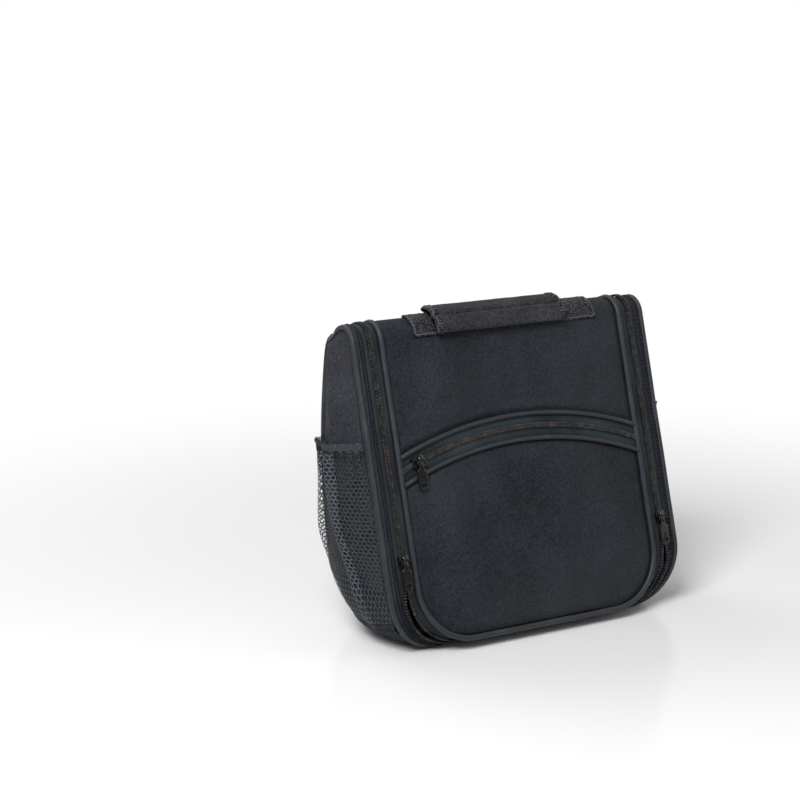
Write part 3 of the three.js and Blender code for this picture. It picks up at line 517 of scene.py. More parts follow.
LINING = Lining("lining", "0e0f12", "202227")
CLEAR = ClearSheet("clear_sheet", "8d9299", "c9cdd2")
NET = Net("net", "0c0e12", "32373f")
DOUBLED = Net("net_doubled", "14171c", "5c646f")
FRILL = Net("net_frill", "121418", "50555d", hole=2.2 * MM, strand=0.26)
METAL = Enamel("black_metal", "040405", "2c2926")
HOOK_WIRE = Wire("hook_wire", "4a443e", "8a847c")
STRAP = Webbing("webbing", "020203", "54555b")
# The coil's light colour is its painted glint.
COIL = Nylon("zip_coil", "060608", "463f39")
FLOOR = StudioFloor("studio_floor", "f4f4f4", "ffffff")


# Modelling


def at_rest() -> None:
    """Nothing selected, and no edit going on."""
    if bpy.context.object is not None and bpy.context.object.mode != "OBJECT":
        bpy.ops.object.mode_set(mode="OBJECT")
    bpy.ops.object.select_all(action="DESELECT")


def picked(*pieces: Piece) -> Piece:
    """Select pieces alone and make the first the active one."""
    at_rest()
    for piece in pieces:
        piece.select_set(True)
    bpy.context.view_layer.objects.active = pieces[0]
    return pieces[0]


@contextmanager
def editing(piece: Piece, action: str = "SELECT") -> Iterator[None]:
    """Edit one piece, with all of its mesh selected or none."""
    picked(piece)
    bpy.ops.object.mode_set(mode="EDIT")
    bpy.ops.mesh.select_all(action=action)
    yield
    bpy.ops.object.mode_set(mode="OBJECT")


def shaped(add: Callable[..., set], **settings: object) -> Piece:
    """Add a primitive and put its place, turn and size into its mesh."""
    at_rest()
    add(**settings)
    piece = picked(bpy.context.object)
    bpy.ops.object.transform_apply(location=True, rotation=True, scale=True)
    return piece


def modified(piece: Piece, kind: str, **settings: object) -> Piece:
    """Add a modifier with those attributes and apply it."""
    picked(piece)
    modifier = piece.modifiers.new(kind.lower(), kind)
    for key, value in settings.items():
        setattr(modifier, key, value)
    bpy.ops.object.modifier_apply(modifier=modifier.name)
    return piece


def worn_round(piece: Piece, width: float, degrees: float = 60, segments: int = 2) -> Piece:
    """Round the edges where faces meet more sharply than that."""
    return modified(piece, "BEVEL", width=width, segments=segments, limit_method="ANGLE",
                    angle_limit=math.radians(degrees))


def laid(steps: tuple[int, int], size: tuple[float, float], place: Place, facing: Optional[Vector] = None,
         seamed: bool = False) -> Piece:
    """A flat grid of cloth laid along a surface, one layer thick.

    Args:
        steps: Faces along and across.
        size: Length and width of the cloth in metres, for its weave.
        place: Point of the surface at a share along and a share across.
        facing: The side that shows; a lone sheet is turned to it.
        seamed: Whether the two long edges meet, as on a tube.
    """
    at_rest()
    bpy.ops.mesh.primitive_grid_add(x_subdivisions=steps[0], y_subdivisions=steps[1], size=1.0)
    piece = bpy.context.object
    mesh = piece.data
    flat = np.empty(3 * len(mesh.vertices))
    mesh.vertices.foreach_get("co", flat)
    placed = np.array([place(float(u), float(v)) for u, v, _ in flat.reshape(-1, 3) + 0.5])
    mesh.vertices.foreach_set("co", placed.ravel())
    cloth = np.empty(2 * len(mesh.loops))
    mesh.uv_layers.active.data.foreach_get("uv", cloth)
    mesh.uv_layers.active.data.foreach_set("uv", (cloth.reshape(-1, 2) * np.array(size)).ravel())
    mesh.update()
    if facing is not None:
        total = sum((face.normal * face.area for face in mesh.polygons), Vector())
        if total.dot(facing) < 0:
            mesh.flip_normals()
    if seamed:
        close_up(piece)
    return piece


def close_up(piece: Piece) -> None:
    """Merge a shape's doubles, fill its open ends and turn it outside out."""
    with editing(piece):
        bpy.ops.mesh.select_mode(type="VERT")
        bpy.ops.mesh.remove_doubles(threshold=SMALLEST_FOLD)
        bpy.ops.mesh.select_all(action="DESELECT")
        bpy.ops.mesh.select_non_manifold(extend=False, use_wire=False, use_multi_face=False,
                                         use_non_contiguous=False, use_verts=False)
        bpy.ops.mesh.fill_holes(sides=0)
        bpy.ops.mesh.select_all(action="SELECT")
        bpy.ops.mesh.normals_make_consistent(inside=False)


def tubing(spine: Sequence[Vector], radius: Union[float, Callable[[float], float]], sides: int,
           up: Optional[Sequence[Vector]] = None, flatten: float = 1.0) -> Piece:
    """A closed tube along a line, its cloth running along the line.

    Args:
        spine: Points of the line.
        radius: Radius, or its value at a share along the line.
        sides: Faces round the tube.
        up: Which way the tube's first rib faces at each point.
        flatten: Height of the section as a share of its width.
    """
    count = len(spine) - 1
    ahead = [(spine[min(i + 1, count)] - spine[max(i - 1, 0)]).normalized() for i in range(count + 1)]
    frames: list[tuple[Vector, Vector]] = []
    for i, direction in enumerate(ahead):
        lead = up[i] if up is not None else (frames[-1][0] if frames else direction.orthogonal())
        lead = (lead - direction * lead.dot(direction)).normalized()
        frames.append((lead, direction.cross(lead)))
    length = sum((spine[i + 1] - spine[i]).length for i in range(count))
    wide = radius if callable(radius) else (lambda share: radius)

    def place(along: float, around: float) -> Vector:
        """A point of the tube's skin."""
        index = round(along * count)
        lead, side = frames[index]
        turn = 2 * HALF_TURN * around
        reach = wide(along)
        return spine[index] + (lead * (flatten * math.cos(turn)) + side * math.sin(turn)) * reach

    return laid((count, sides), (length, 2 * HALF_TURN * wide(0.5)), place, seamed=True)


def block(centre: tuple[float, float, float], size: tuple[float, float, float], rounding: float,
          segments: int = 2) -> Piece:
    """A box with rounded edges, at its place."""
    piece = shaped(bpy.ops.mesh.primitive_cube_add, size=1.0, location=centre, scale=size)
    with editing(piece):
        bpy.ops.mesh.select_mode(type="EDGE")
        bpy.ops.mesh.bevel(offset=rounding, segments=segments, profile=0.6)
    return piece


def one_of(*pieces: Piece) -> Piece:
    """Join pieces into the first of them."""
    picked(*pieces)
    bpy.ops.object.join()
    return bpy.context.object


def moved(piece: Piece, matrix: Matrix) -> Piece:
    """Carry a piece's mesh through a matrix."""
    piece.data.transform(matrix)
    piece.data.update()
    return piece


def seated(across: Vector, upward: Vector, outward: Vector, origin: Vector) -> Matrix:
    """Matrix from a piece's own X, Y and Z to three directions, at a place."""
    return Matrix.Translation(origin) @ Matrix((across, upward, outward)).transposed().to_4x4()


class Body(Enum):
    """Moving bodies of the bag that cloth is sewn to."""

    BODY = "body"
    TOP = "top"
    FLAP = "flap"
    HANDLE = "handle"


@dataclass(frozen=True)
class Bend:
    """The two bodies at a hinge that cloth crosses, and two points along the crossing."""

    first: Body
    second: Body
    start: Vector
    end: Vector


Seat = Union[Body, Bend, str]


@cache
def material_of(finish: Finish) -> bpy.types.Material:
    """The material of a finish, made once."""
    return finish.material()


def coat(piece: Piece, finish: Finish) -> None:
    """Give a piece its finish alone."""
    piece.data.materials.clear()
    piece.data.materials.append(material_of(finish))


def sewn_in(piece: Piece, name: str, finish: Finish, seat: Seat, slot: str, nodes: Sequence[str] = (),
            degrees: float = 50.0) -> Piece:
    """Name a finished piece, dress it and attach it to the body that it rides on; a piece that crosses a bend
    is left where it is.

    Args:
        piece: The mesh, at its place.
        name: Its name in the model.
        finish: Its finish.
        seat: The body that it rides on, or the bend that it crosses.
        slot: Material slot; not used.
        nodes: CAD nodes that it stands for.
        degrees: Sharpest bend that is shaded round.
    """
    picked(piece)
    bpy.ops.object.shade_smooth_by_angle(angle=math.radians(degrees))
    piece.name = piece.data.name = name
    coat(piece, finish)
    if isinstance(seat, Bend):
        tuple(seat.start)
        tuple(seat.end)
        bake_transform(piece)
    else:
        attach(piece, seat.value if isinstance(seat, Body) else seat)
    if nodes:
        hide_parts(*nodes)
    log.info("%s: %d faces", name, len(piece.data.polygons))
    return piece


def cut_cloth(name: str, steps: tuple[int, int], size: tuple[float, float], place: Place,
              facing: Optional[Vector], thickness: float, finish: Finish, seat: Seat, slot: str,
              nodes: Sequence[str] = (), degrees: float = 50.0) -> Piece:
    """Lay a sheet, thicken it behind the side that shows, and sew it in."""
    cloth = laid(steps, size, place, facing)
    if facing is None:
        faced_by_seam(cloth)
    if thickness:
        modified(cloth, "SOLIDIFY", thickness=thickness, offset=-1.0, use_even_offset=False)
    sewn_in(cloth, name, finish, seat, slot, nodes, degrees)
    return cloth


def faced_by_seam(strip: Piece) -> None:
    """Turn a strip that runs along the seam so that its first face looks out of the bag."""
    face = strip.data.polygons[0]
    near = min(BAG.whole, key=lambda seam: (seam.foot - face.center).length)
    if face.normal.dot(near.rise) < 0:
        strip.data.flip_normals()


def cut_size(piece: Piece, size: tuple[float, float], sides: int = 1) -> tuple[float, float]:
    """Flat size of a sheet of one or two sides: the given proportions, with the cloth's own area."""
    area = sum(face.area for face in piece.data.polygons) / sides
    scale = math.sqrt(area / (size[0] * size[1]))
    return size[0] * scale, size[1] * scale


# The bag's cutting pattern


@dataclass(frozen=True)
class Pattern:
    """Sizes that the pieces share."""

    lean: float = math.radians(17)
    half_width: float = 103 * MM
    height: float = 218 * MM
    corner: float = 42 * MM
    foot: float = 9.5 * MM
    foot_curl: float = math.radians(88)
    fold_radius: float = 14 * MM
    top_slope: float = math.radians(20)
    top_length: float = 25.5 * MM
    hinge_gap: float = 0.5 * MM
    back_half_width: float = 121 * MM
    back_corner: float = 45 * MM
    back_foot: float = 9 * MM
    back_height: float = 215 * MM
    back_clearance: float = 1.2 * MM
    sewn_gap: float = 0.4 * MM
    panel: float = 2.6 * MM
    panel_rise: float = 1.3 * MM
    wall: float = 2.5 * MM
    lining: float = 1.2 * MM
    clear: float = 0.6 * MM
    piping: float = 2.2 * MM
    side_piping: float = 2.0 * MM
    side_bulge: float = 12 * MM
    side_bulge_at_top: float = 3 * MM
    base_sag: float = 9 * MM
    zip_offset: float = 9 * MM
    row_half_gap: float = 0.7 * MM
    row_height: float = 1.6 * MM
    tape: float = 0.9 * MM
    body_tape_width: float = 3.8 * MM
    rim_width: float = 5 * MM
    arch_radius: float = 270 * MM
    arch_apex: float = 143.5 * MM
    arch_half_band: float = 9.2 * MM
    arch_piping: float = 1.6 * MM
    arch_coil_half: float = 2.6 * MM
    slider_height: float = 61 * MM
    rear_round: float = 3 * MM
    rear_round_from: float = 0.92
    shoulder_curl: float = math.radians(24)
    belly: float = 5 * MM
    # How far the cloth turns over the top
    fold_turn: float = QUARTER_TURN - lean + top_slope
    # Edge of each tape from the zip's middle line
    tape_edge: float = row_half_gap + 0.5 * sewn_gap
    # Outer edge of the body's tape, both edges of the rim strip, and the middle of the side piping
    body_tape_end: float = zip_offset + tape_edge + body_tape_width
    rim_start: float = body_tape_end + sewn_gap
    rim_end: float = rim_start + rim_width
    side_piping_offset: float = rim_end + sewn_gap + side_piping
    # Underside and crown of the coil rows over the tape's face
    row_low: float = sewn_gap
    row_high: float = row_low + row_height
    # Panel edge inside the middle of the flap piping, and half the width of the flap panels
    panel_inset: float = piping + sewn_gap
    panel_half: float = half_width - panel_inset
    # Height of the arch's centre up the flap
    arch_centre: float = arch_apex - arch_radius
    # Middle of the rounded lower corners
    corner_x: float = half_width - corner

    def foot_at(self, x: float, radius: float) -> float:
        """Height up the flap of its rounded lower edge, at a place across it."""
        return self.corner - math.sqrt(max(radius ** 2 - max(abs(x) - self.corner_x, 0.0) ** 2, 0.0))

    def widened(self, share: float) -> float:
        """How far the rear seam bellies out, at a share of its height over the corner."""
        return self.belly * math.sin(HALF_TURN * min(max(share, 0.0), 1.0)) ** 0.8

    def arch(self, x: float, radius: float) -> float:
        """Height up the flap of an arc of that radius, at a place across it."""
        return self.arch_centre + math.sqrt(radius ** 2 - x ** 2)


CUT = Pattern()


@dataclass(frozen=True)
class SeamPlace:
    """A place on the bag's front seam, and the matching place on its rear seam."""

    part: Body
    foot: Vector
    side: Vector
    normal: Vector
    out: Vector
    rise: Vector
    rear: Vector
    rear_side: Vector
    full: float
    run: float
    climb: float

    def beside(self, out: float, rise: float) -> Vector:
        """Point out across the cloth, and up from its face."""
        return self.foot + self.out * out + self.rise * rise


class Frame:
    """The leaning front plane, the fold over the top, and the seam round them."""

    def __init__(self, cut: Pattern) -> None:
        """Work out the directions, then both halves of the seam."""
        self.cut = cut
        self.up = Vector((0, math.sin(cut.lean), math.cos(cut.lean)))
        self.out = Vector((0, -math.cos(cut.lean), math.sin(cut.lean)))
        self.shift = 0.0
        self.fold_centre = self.plane(0, cut.height, -cut.fold_radius)
        self.top_out = self.normal_at(cut.fold_turn)
        self.top_back = Vector((0, math.cos(cut.top_slope), -math.sin(cut.top_slope)))
        rear = self.fold_centre + self.top_out * cut.fold_radius + self.top_back * cut.top_length
        back = rear.y + cut.back_clearance
        self.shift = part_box("back_panel")[1].y - (back + 0.5 * cut.panel)
        self.fold_centre.y += self.shift
        self.back_y = back + self.shift
        self.top_rear = rear + Vector((0, self.shift, 0))
        self.left = self.half_seam(-1.0)
        self.right = self.half_seam(1.0)
        self.whole = [*self.left[:0:-1], *self.right]
        self.flap_seam = [p for p in self.whole if p.part is Body.FLAP]

    def plane(self, x: float, up: float, out: float) -> Vector:
        """A point of the leaning front plane."""
        foot = Vector((x, self.shift, self.cut.foot))
        return foot + self.up * up + self.out * out

    def normal_at(self, turn: float) -> Vector:
        """The outward direction after that much turn over the fold."""
        return Vector((0, -math.cos(self.cut.lean + turn), math.sin(self.cut.lean + turn)))

    def over(self, x: float, run: float, rise: float) -> Vector:
        """A point of the cloth that runs up the flap, over the fold and back.

        Args:
            x: Place across the bag.
            run: Length up the flap and over the fold.
            rise: Height over the cloth's line.
        """
        cut = self.cut
        if run <= cut.height:
            return self.plane(x, run, rise)
        past = run - cut.height
        back = max(past - cut.fold_radius * cut.fold_turn, 0.0)
        turn = min(past / cut.fold_radius, cut.fold_turn)
        return self.round_fold(x, turn, cut.fold_radius + rise) + self.top_back * back

    def round_fold(self, x: float, turn: float, radius: float) -> Vector:
        """A point that far from the fold's axis, after that much turn over the fold."""
        point = self.fold_centre + self.normal_at(turn) * radius
        return Vector((x, point.y, point.z))

    @property
    def whole_run(self) -> float:
        """Length of the cloth from the foot of the flap to the rear of the top."""
        cut = self.cut
        return cut.height + cut.fold_radius * cut.fold_turn + cut.top_length

    def half_seam(self, hand: float) -> list[SeamPlace]:
        """Half of the seam, from the middle of the base round a corner, up a side and over the fold."""
        cut = self.cut
        rear_corner_x = cut.back_half_width - cut.back_corner
        rear_corner_z = cut.back_foot + cut.back_corner
        outward = Vector((hand, 0, 0))
        down = -self.up
        places: list[SeamPlace] = []

        def put(part: Body, foot: Vector, side: Vector, normal: Vector, curl: float, rear: Vector,
                rear_side: Vector, full: float, climb: float) -> None:
            """Add a place of the seam."""
            out = side * math.cos(curl) - normal * math.sin(curl)
            rise = side * math.sin(curl) + normal * math.cos(curl)
            run = places[-1].run + (foot - places[-1].foot).length if places else 0.0
            places.append(SeamPlace(part, foot, side, normal, out, rise, rear, rear_side, full, run, climb))

        for i in range(BOTTOM_STEPS):
            share = i / BOTTOM_STEPS
            rear = Vector((hand * share * rear_corner_x, self.back_y, cut.back_foot))
            foot = self.plane(hand * share * cut.corner_x, 0, 0)
            put(Body.FLAP, foot, down, self.out, cut.foot_curl, rear, Vector((0, 0, -1)), cut.base_sag, 0.0)
        for i in range(CORNER_STEPS + 1):
            share = i / CORNER_STEPS
            turn = share * QUARTER_TURN
            side = outward * math.sin(turn) + down * math.cos(turn)
            foot = self.plane(hand * cut.corner_x, cut.corner, 0) + side * cut.corner
            rear_side = Vector((hand * math.sin(turn), 0, -math.cos(turn)))
            rear = Vector((hand * rear_corner_x, self.back_y, rear_corner_z)) + rear_side * cut.back_corner
            curl = cut.foot_curl * (1 - ease(share, 0, 1))
            full = mix(cut.base_sag, cut.side_bulge, share)
            put(Body.FLAP, foot, side, self.out, curl, rear, rear_side, full, 0.0)
        fold_length = cut.fold_radius * cut.fold_turn
        climb = cut.height - cut.corner + fold_length + cut.top_length

        def rise_to(length: float, part: Body, foot: Vector, normal: Vector, curl: float = 0.0) -> None:
            """Add a place of the side, that far up from the corner."""
            share = length / climb
            turn_in = cut.rear_round * rounded((share - cut.rear_round_from) / (1 - cut.rear_round_from))
            rear = Vector((hand * (cut.back_half_width - turn_in + cut.widened(share)), self.back_y,
                           mix(rear_corner_z, cut.back_height, share)))
            full = mix(cut.side_bulge, cut.side_bulge_at_top, share ** 2)
            put(part, foot, outward, normal, curl, rear, outward, full, share)

        for i in range(1, SIDE_STEPS + 1):
            up = mix(cut.corner, cut.height - cut.hinge_gap, i / SIDE_STEPS)
            rise_to(up - cut.corner, Body.FLAP, self.plane(hand * cut.half_width, up, 0), self.out)
        for i in range(FOLD_STEPS + 1):
            turn = cut.fold_turn * i / FOLD_STEPS
            normal = self.normal_at(turn)
            foot = self.fold_centre + normal * cut.fold_radius
            foot.x = hand * cut.half_width
            rise_to(cut.height - cut.corner + cut.fold_radius * turn, Body.TOP, foot, normal)
        for i in range(1, FLAT_STEPS + 1):
            back = cut.top_length * i / FLAT_STEPS
            foot = self.top_rear + self.top_back * (back - cut.top_length)
            foot.x = hand * cut.half_width
            curl = cut.shoulder_curl * ease(i / FLAT_STEPS, 0.1, 1.0)
            rise_to(cut.height - cut.corner + fold_length + back, Body.TOP, foot, self.top_out, curl)
        return places


BOTTOM_STEPS = 16
CORNER_STEPS = 20
SIDE_STEPS = 48
FOLD_STEPS = 14
FLAT_STEPS = 8
BAG = Frame(CUT)


# Studio


@dataclass
class Studio:
    """Camera at the photographed angle, pale floor, soft lamps and a white surround."""

    azimuth: float = math.radians(-30)
    elevation: float = math.radians(13)
    distance: float = 1.4706
    aim: tuple[float, float, float] = (-0.0678, 0.0435, 0.1639)
    lens: float = 90.0
    sensor: float = 36.0
    floor_half: float = 3.0

    def build(self) -> None:
        """Set up everything round the bag."""
        self.place_camera()
        self.lay_floor()
        for name, place, size, power in (("key_lamp", (-0.95, -0.7, 1.3), 0.75, 28.0),
                                         ("fill_lamp", (1.8, -1.3, 1.0), 1.4, 8.0),
                                         ("back_lamp", (-0.5, 1.7, 1.8), 1.2, 14.0)):
            self.hang_lamp(name, Vector(place), size, power)
        self.surround()
        bpy.context.scene.view_settings.view_transform = "Standard"

    def place_camera(self) -> None:
        """Stand the camera where the photograph was taken from."""
        at_rest()
        level = math.cos(self.elevation)
        way = Vector((math.sin(self.azimuth) * level, -math.cos(self.azimuth) * level,
                      math.sin(self.elevation)))
        bpy.ops.object.camera_add(location=Vector(self.aim) + way * self.distance)
        camera = bpy.context.object
        camera.name = "studio_camera"
        camera.rotation_euler = (-way).to_track_quat("-Z", "Y").to_euler()
        camera.data.lens = self.lens
        camera.data.sensor_width = self.sensor
        bpy.context.scene.camera = camera

    def lay_floor(self) -> None:
        """Lay a wide floor under the bag."""
        at_rest()
        bpy.ops.mesh.primitive_plane_add(size=2 * self.floor_half)
        floor = bpy.context.object
        with editing(floor):
            bpy.ops.mesh.subdivide(number_cuts=3)
        floor.name = "studio_floor"
        coat(floor, FLOOR)

    def hang_lamp(self, name: str, place: Vector, size: float, power: float) -> None:
        """Hang a soft square lamp that faces the bag."""
        at_rest()
        bpy.ops.object.light_add(type="AREA", location=place)
        lamp = bpy.context.object
        lamp.name = name
        lamp.data.shape = "SQUARE"
        lamp.data.size = size
        lamp.data.energy = power
        lamp.rotation_euler = (Vector((0, 0, 0.12)) - place).to_track_quat("-Z", "Y").to_euler()

    def surround(self) -> None:
        """White past the floor, dim but overhead in gloss, and grey as a light."""
        world = bpy.data.worlds.new("studio_surround")
        bpy.context.scene.world = world
        recipe = Recipe(world)
        up = recipe.parts(recipe.node("TexCoord", output="Generated"))[2]
        seen = recipe.seen(recipe.between(up, 0.3, 0.75, 0.25, 1.0))
        plain, white = (recipe.node("Background", {0: WHITE, 1: strength}) for strength in (0.3, 1.0))
        recipe.close(recipe.node("MixShader", {0: seen, 1: plain, 2: white}), "OutputWorld")


# The bag's outer cloth


@dataclass
class Shell:
    """Base, sides, back and their piping: the standing body of the bag."""

    crease: float = 1.6 * MM
    crest: float = 0.46
    tent: float = 0.19
    pucker: float = 1.6 * MM
    slump: float = 2.2 * MM
    depth_steps: int = 48
    back_crown: float = 4.0 * MM
    band: float = 95 * MM

    def point(self, place: SeamPlace, depth: float) -> Vector:
        """Point of the outer face between the side piping and the rear seam.

        Args:
            place: Place on the seam.
            depth: 0 at the side piping and 1 at the rear.
        """
        start = place.beside(CUT.side_piping_offset, -0.5 * CUT.side_piping)
        start = start - place.normal * (CUT.side_piping + 0.5 * CUT.sewn_gap)
        start = start + place.side * 0.5 * CUT.side_piping
        end = place.rear + place.rear_side * 0.5 * CUT.side_piping
        end.y -= CUT.piping + 0.3 * CUT.sewn_gap
        point = start.lerp(end, depth)
        soft = self.softness(place, depth)
        crest = self.crest_at(place)
        tent = self.tent * abs(end.y - start.y) * min(depth / crest, (1 - depth) / (1 - crest))
        swell = mix(place.full * arching(depth), tent, ease(place.climb, 0.1, 0.4))
        point = point + place.rear_side * (swell + soft)
        point.z = max(point.z, 0.0)
        return point

    def crest_at(self, place: SeamPlace) -> float:
        """Depth of the fold down the side, which wanders with the height."""
        return self.crest + 0.05 * wander(place.climb * 5.0, math.copysign(1.0, place.foot.x), 0.0)

    def softness(self, place: SeamPlace, depth: float) -> float:
        """Creases, slumps and fullness of the cloth between its seams."""
        free = math.sin(HALF_TURN * min(max(depth, 0.0), 1.0)) ** 0.7
        hand = math.copysign(1.0, place.foot.x)
        upper = ease(place.climb, 0.2, 0.5) * (1 - ease(place.climb, 0.94, 1.0))
        crest = self.crest_at(place)
        fold = self.crease * upper * (bump(depth, crest, 0.035) - 0.6 * bump(depth, crest + 0.09, 0.05))
        waves = wander(place.foot.x * 9 + hand, place.rear.z * 16, depth * 2.4 + 4.0)
        ripple = wander(depth * 7.0, place.run * 32.0, hand * 2.0)
        near_front = (1 - ease(depth, 0.0, 0.3)) * ease(depth, 0.0, 0.04)
        on_side = ease(place.climb, 0.0, 0.05)
        ending = 1 - ease(place.climb, 0.9, 1.0)
        loose = free * (fold + self.slump * waves * mix(0.3, 1.0, ending)) * mix(0.4, 1.0, on_side)
        return loose + self.pucker * near_front * ripple * ending

    def build(self) -> None:
        """Make the body's outer cloth."""
        first = BOTTOM_STEPS + CORNER_STEPS
        middle = len(BAG.left) - 1
        lowest = BAG.whole[middle - first:middle + first + 1]
        self.gusset("base", PANEL, "panel_cloth", lowest, Vector((0, 0, -1)))
        for hand, half, way in (("left", BAG.left, -1), ("right", BAG.right, 1)):
            self.gusset(f"{hand}_side", SIDE, "side_cloth", half[first:], Vector((way, 0, 0)))
        self.back()
        self.pipings()
        self.rim()

    def gusset(self, name: str, finish: Finish, slot: str, places: Sequence[SeamPlace],
               facing: Vector) -> None:
        """One stretch of the band of cloth between the front and rear seams."""
        last = len(places) - 1
        one_sided = places[0].foot.x * places[-1].foot.x > 0
        length = places[-1].run - places[0].run if one_sided else 2 * places[-1].run

        def place(u: float, v: float) -> Vector:
            """A point of the cloth."""
            return self.point(places[round(u * last)], v)

        cut_cloth(f"{name}_cloth", (last, self.depth_steps), (abs(length), self.band), place, facing,
                  CUT.wall, finish, Body.BODY, slot, [f"{name}_panel"])

    def back(self) -> None:
        """The back panel, a little crowned between its seams."""
        half = CUT.back_half_width - CUT.piping - 0.5 * CUT.sewn_gap
        radius = CUT.back_corner - CUT.piping - 0.5 * CUT.sewn_gap
        corner_x = CUT.back_half_width - CUT.back_corner
        foot = CUT.back_foot + CUT.back_corner
        face = BAG.back_y + 0.5 * CUT.panel

        def place(u: float, v: float) -> Vector:
            """A point of the panel's outer face."""
            x = half * spread(u)
            over = max(abs(x) - corner_x, 0.0)
            low = foot - math.sqrt(max(radius ** 2 - over ** 2, 0.0))
            past = (abs(x) - half + CUT.rear_round) / CUT.rear_round
            high = CUT.back_height - 10 * MM * rounded(past)
            z = mix(low, high, v)
            free = (1 - (x / half) ** 2) ** 0.6 * arching(v) ** 0.6
            wave = 0.35 * wander(x * 14, z * 14, 3.0)
            crown = min(self.back_crown * free * (0.55 + wave), 0.8 * CUT.piping)
            x *= 1 + CUT.widened((z - foot) / (CUT.back_height - foot)) / half
            return Vector((x, face + crown * 0.5, z))

        cut_cloth("back_cloth", (56, 40), (2 * half, CUT.back_height), place, Vector((0, 1, 0)), CUT.panel,
                  PANEL, Body.BODY, "panel_cloth", ["back_panel"])

    def pipings(self) -> None:
        """Piping round the rear seam, and beside the rim of the front opening."""
        places = [BAG.whole[0], BAG.whole[0], *BAG.whole, BAG.whole[-1], BAG.whole[-1]]
        spine = self.turned_in([place.rear for place in BAG.whole], ((2.2, -0.8, 0.2), (6.0, -1.5, 0.3)))
        rear = tubing(spine, self.tucked(CUT.piping), 12, [place.rear_side for place in places])
        sewn_in(rear, "rear_seam_piping", PIPING, Body.BODY, "binding", ["rear_piping"])
        spine = [place.beside(CUT.side_piping_offset, -0.5 * CUT.side_piping + self.sway(place))
                 for place in BAG.whole]
        spine = self.turned_in(spine, ((0.6, 2.0, -1.6), (1.6, 4.0, -4.6)))
        side = tubing(spine, self.tucked(CUT.side_piping), 12, [place.rise for place in places])
        sewn_in(side, "front_rim_piping", PIPING, Body.BODY, "binding", ["side_piping"])

    @staticmethod
    def turned_in(spine: Sequence[Vector], steps: Sequence[tuple[float, float, float]]) -> list[Vector]:
        """A piping's line with both ends turned in to the seam.

        Args:
            spine: The line, from the left end to the right.
            steps: Points past each end in millimetres: towards the middle, back and up.
        """
        left = [spine[0] + Vector((x, y, z)) * MM for x, y, z in reversed(steps)]
        right = [spine[-1] + Vector((-x, y, z)) * MM for x, y, z in steps]
        return [*left, *spine, *right]

    @staticmethod
    def tucked(radius: float) -> Callable[[float], float]:
        """Radius of a piping whose ends are flattened into the seam, at a share of its length."""
        return lambda share: radius * (0.45 + 0.55 * ease(min(share, 1 - share), 0.0, 0.006))

    @staticmethod
    def sway(place: SeamPlace) -> float:
        """How much the piping wanders, as sewn piping does."""
        return 0.5 * MM * wander(place.run * 24, math.copysign(3.0, place.foot.x), 0.0)

    def rim(self) -> None:
        """Strip of cloth between the zip tape and the piping, puckered where it eases round."""
        last = len(BAG.whole) - 1

        def place(u: float, v: float) -> Vector:
            """A point of the strip's face."""
            seam = BAG.whole[round(u * last)]
            out = mix(CUT.rim_start - CUT.sewn_gap, CUT.rim_end + CUT.sewn_gap, v)
            pucker = wander(seam.run * 55, math.copysign(5.0, seam.foot.x), v)
            pucker *= 1 - ease(seam.climb, 0.92, 1.0)
            puff = arching(v) * (0.9 * MM + 0.9 * MM * pucker)
            seam_line = 0.9 * MM * bump(v, 0.72, 0.08) - 0.4 * MM * bump(v, 0.58, 0.06)
            return seam.beside(out, puff - 0.4 * MM + seam_line)

        cut_cloth("rim_cloth", (last, 14), (2 * BAG.left[-1].run, CUT.rim_width), place, None, CUT.tape, RIM,
                  Body.BODY, "side_cloth", ["rim_strip"])


